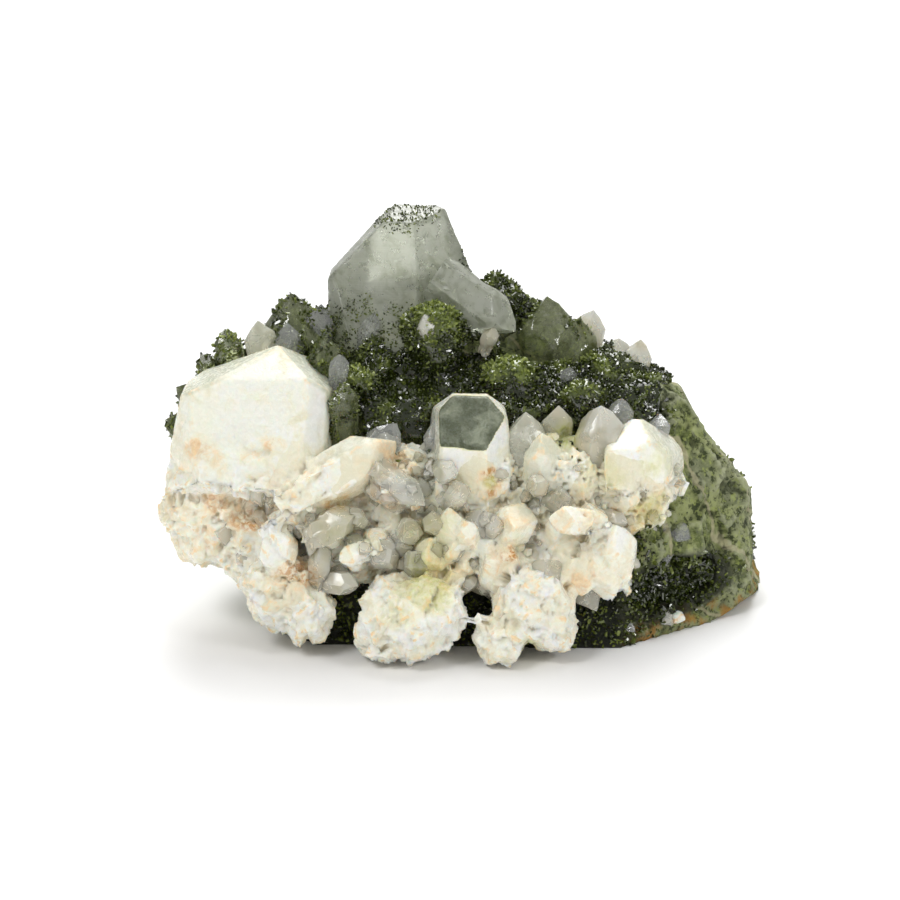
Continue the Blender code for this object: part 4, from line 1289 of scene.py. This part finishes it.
def moss(name, surface, cover, seed, sizes=(0.35, 0.95)):
    """Epidote grains over part of another mineral, bright where that is noted."""
    at = places_of(surface)
    # Paler green in the listed bright places and in random patches: partly the epidote's own colour, partly painted
    # light.
    fresh = np.clip(brightness(at) + 0.25 + 0.6 * noise_at(at, 3 * MM, 6.0), 0, 0.9)
    store(surface, "bright", fresh)
    smallest, largest = sizes
    grains = scatter(
        name, surface, cover, epidote_seed, epidote, 2.0 / largest, 0.4 * MM * largest,
        (smallest * MM, largest * MM), 0.9, seed,
    )
    finish_grains(grains, "epidote")


def rock_cover():
    """Where epidote has grown on the bare rock: low at the front, and in patches on its right."""
    at = places_of(rock)
    x, y, z = at.T / MM
    front = smoothstep(-y, 11, 15) * smoothstep(-z, -30, -24) * smoothstep(-x, -39, -33)
    patches = smoothstep(noise_at(at, 5 * MM, 5.0), 0.25, 0.5) * smoothstep(z, 1.5, 4.0) * 0.15
    rim = smoothstep(-np.hypot((x - 39.5) / 12.5, (z - 8.5) / 6), -1.1, -0.85) * smoothstep(-y, -2, 4)
    return np.maximum(np.maximum(front, rim * 0.8), patches)


moss("rock_epidote_grains", rock, rock_cover(), 7)


def patchy(thing, size, low, high):
    return smoothstep(noise_at(places_of(thing), size, 2.5), low, high)


def clear_crystal_cover(thing):
    """Green dusts the clear crystal's top, its right edge and its foot."""
    at = places_of(thing)
    x, y, z = at.T / MM
    ragged = noise_at(at, 4 * MM, 1.0) * 3.0
    top_left = smoothstep(z + ragged, 69.0, 71.5) * smoothstep(-x, 1, 4)
    right_edge = smoothstep(x + ragged * 0.6, 0.5, 3.0)
    foot = smoothstep(-z + ragged, -58.5, -55.0)
    return np.maximum(np.maximum(top_left, right_edge), foot) * patchy(thing, 1.6 * MM, -0.5, 0.1)


def hollow_cover(thing):
    """Green in the hollows of the upper front."""
    at = places_of(thing)
    hollows = smoothstep(-standing_out(thing, 20), 0.12 * MM, 0.34 * MM)
    z = at[:, 2] / MM
    return hollows * smoothstep(z, 32, 37) * smoothstep(at[:, 0], -20 * MM, -16 * MM)


moss("green_on_clear_crystal", top[GREY], clear_crystal_cover(top[GREY]), 21, (0.2, 0.5))
moss("green_on_left_crystals", left[SMOKY], patchy(left[SMOKY], 3.5 * MM, -0.15, 0.2), 22)
moss("green_on_left_clear_crystals", left[CLEAR], patchy(left[CLEAR], 3.0 * MM, 0.0, 0.3), 25, (0.3, 0.7))
moss("green_on_front_smoky_crystal", front[SMOKY], patchy(front[SMOKY], 3.0 * MM, -0.1, 0.2), 26, (0.3, 0.7))
moss("green_on_back_crystals", back[SMOKY], patchy(back[SMOKY], 4.0 * MM, 0.1, 0.35) * 0.8, 23)
moss("green_in_front_hollows", front[MILKY], hollow_cover(front[MILKY]), 24)

# Quartz druse
# Tiny quartz points stand on the white lumps and in the hollows between the larger crystals.
def druse_places(thing):
    """Where small points stand: on the roots and lumps, and hardly on the crystals' own faces."""
    root = np.empty(len(thing.data.vertices), np.float32)
    thing.data.attributes["root"].data.foreach_get("value", root)
    facing = smoothstep(-normals_of(thing)[:, 1], -0.4, 0.3)
    return smoothstep(root, 0.45, 0.75) * facing


druse_cover = druse_places(front[MILKY])
front_x, front_y, front_z = places_of(front[MILKY]).T / MM
on_large = smoothstep(-front_x, 8, 14) * smoothstep(front_z, 25, 29)
jumble = smoothstep(front_z, 14, 18) * smoothstep(front_x, -38, -33) * (1 - on_large)
DRUSES = (
    ("quartz_druse_white", milky, jumble * patchy(front[MILKY], 6 * MM, 0.0, 0.3), 0.10, 1.5, (1.2, 2.6), 12),
    ("quartz_druse_cloudy", cloudy, jumble * patchy(front[MILKY], 8 * MM, -0.4, 0.0), 0.12, 1.6, (1.4, 3.4), 13),
)
for name, material, patches, density, apart, sizes, seed in DRUSES:
    grains = scatter(
        name, front[MILKY], druse_cover * patches, quartz_seed, material, density, apart * MM,
        (sizes[0] * MM, sizes[1] * MM), 0.8, seed,
    )
    finish_grains(grains, "milky_quartz")
bpy.data.objects.remove(epidote_seed)
bpy.data.objects.remove(quartz_seed)
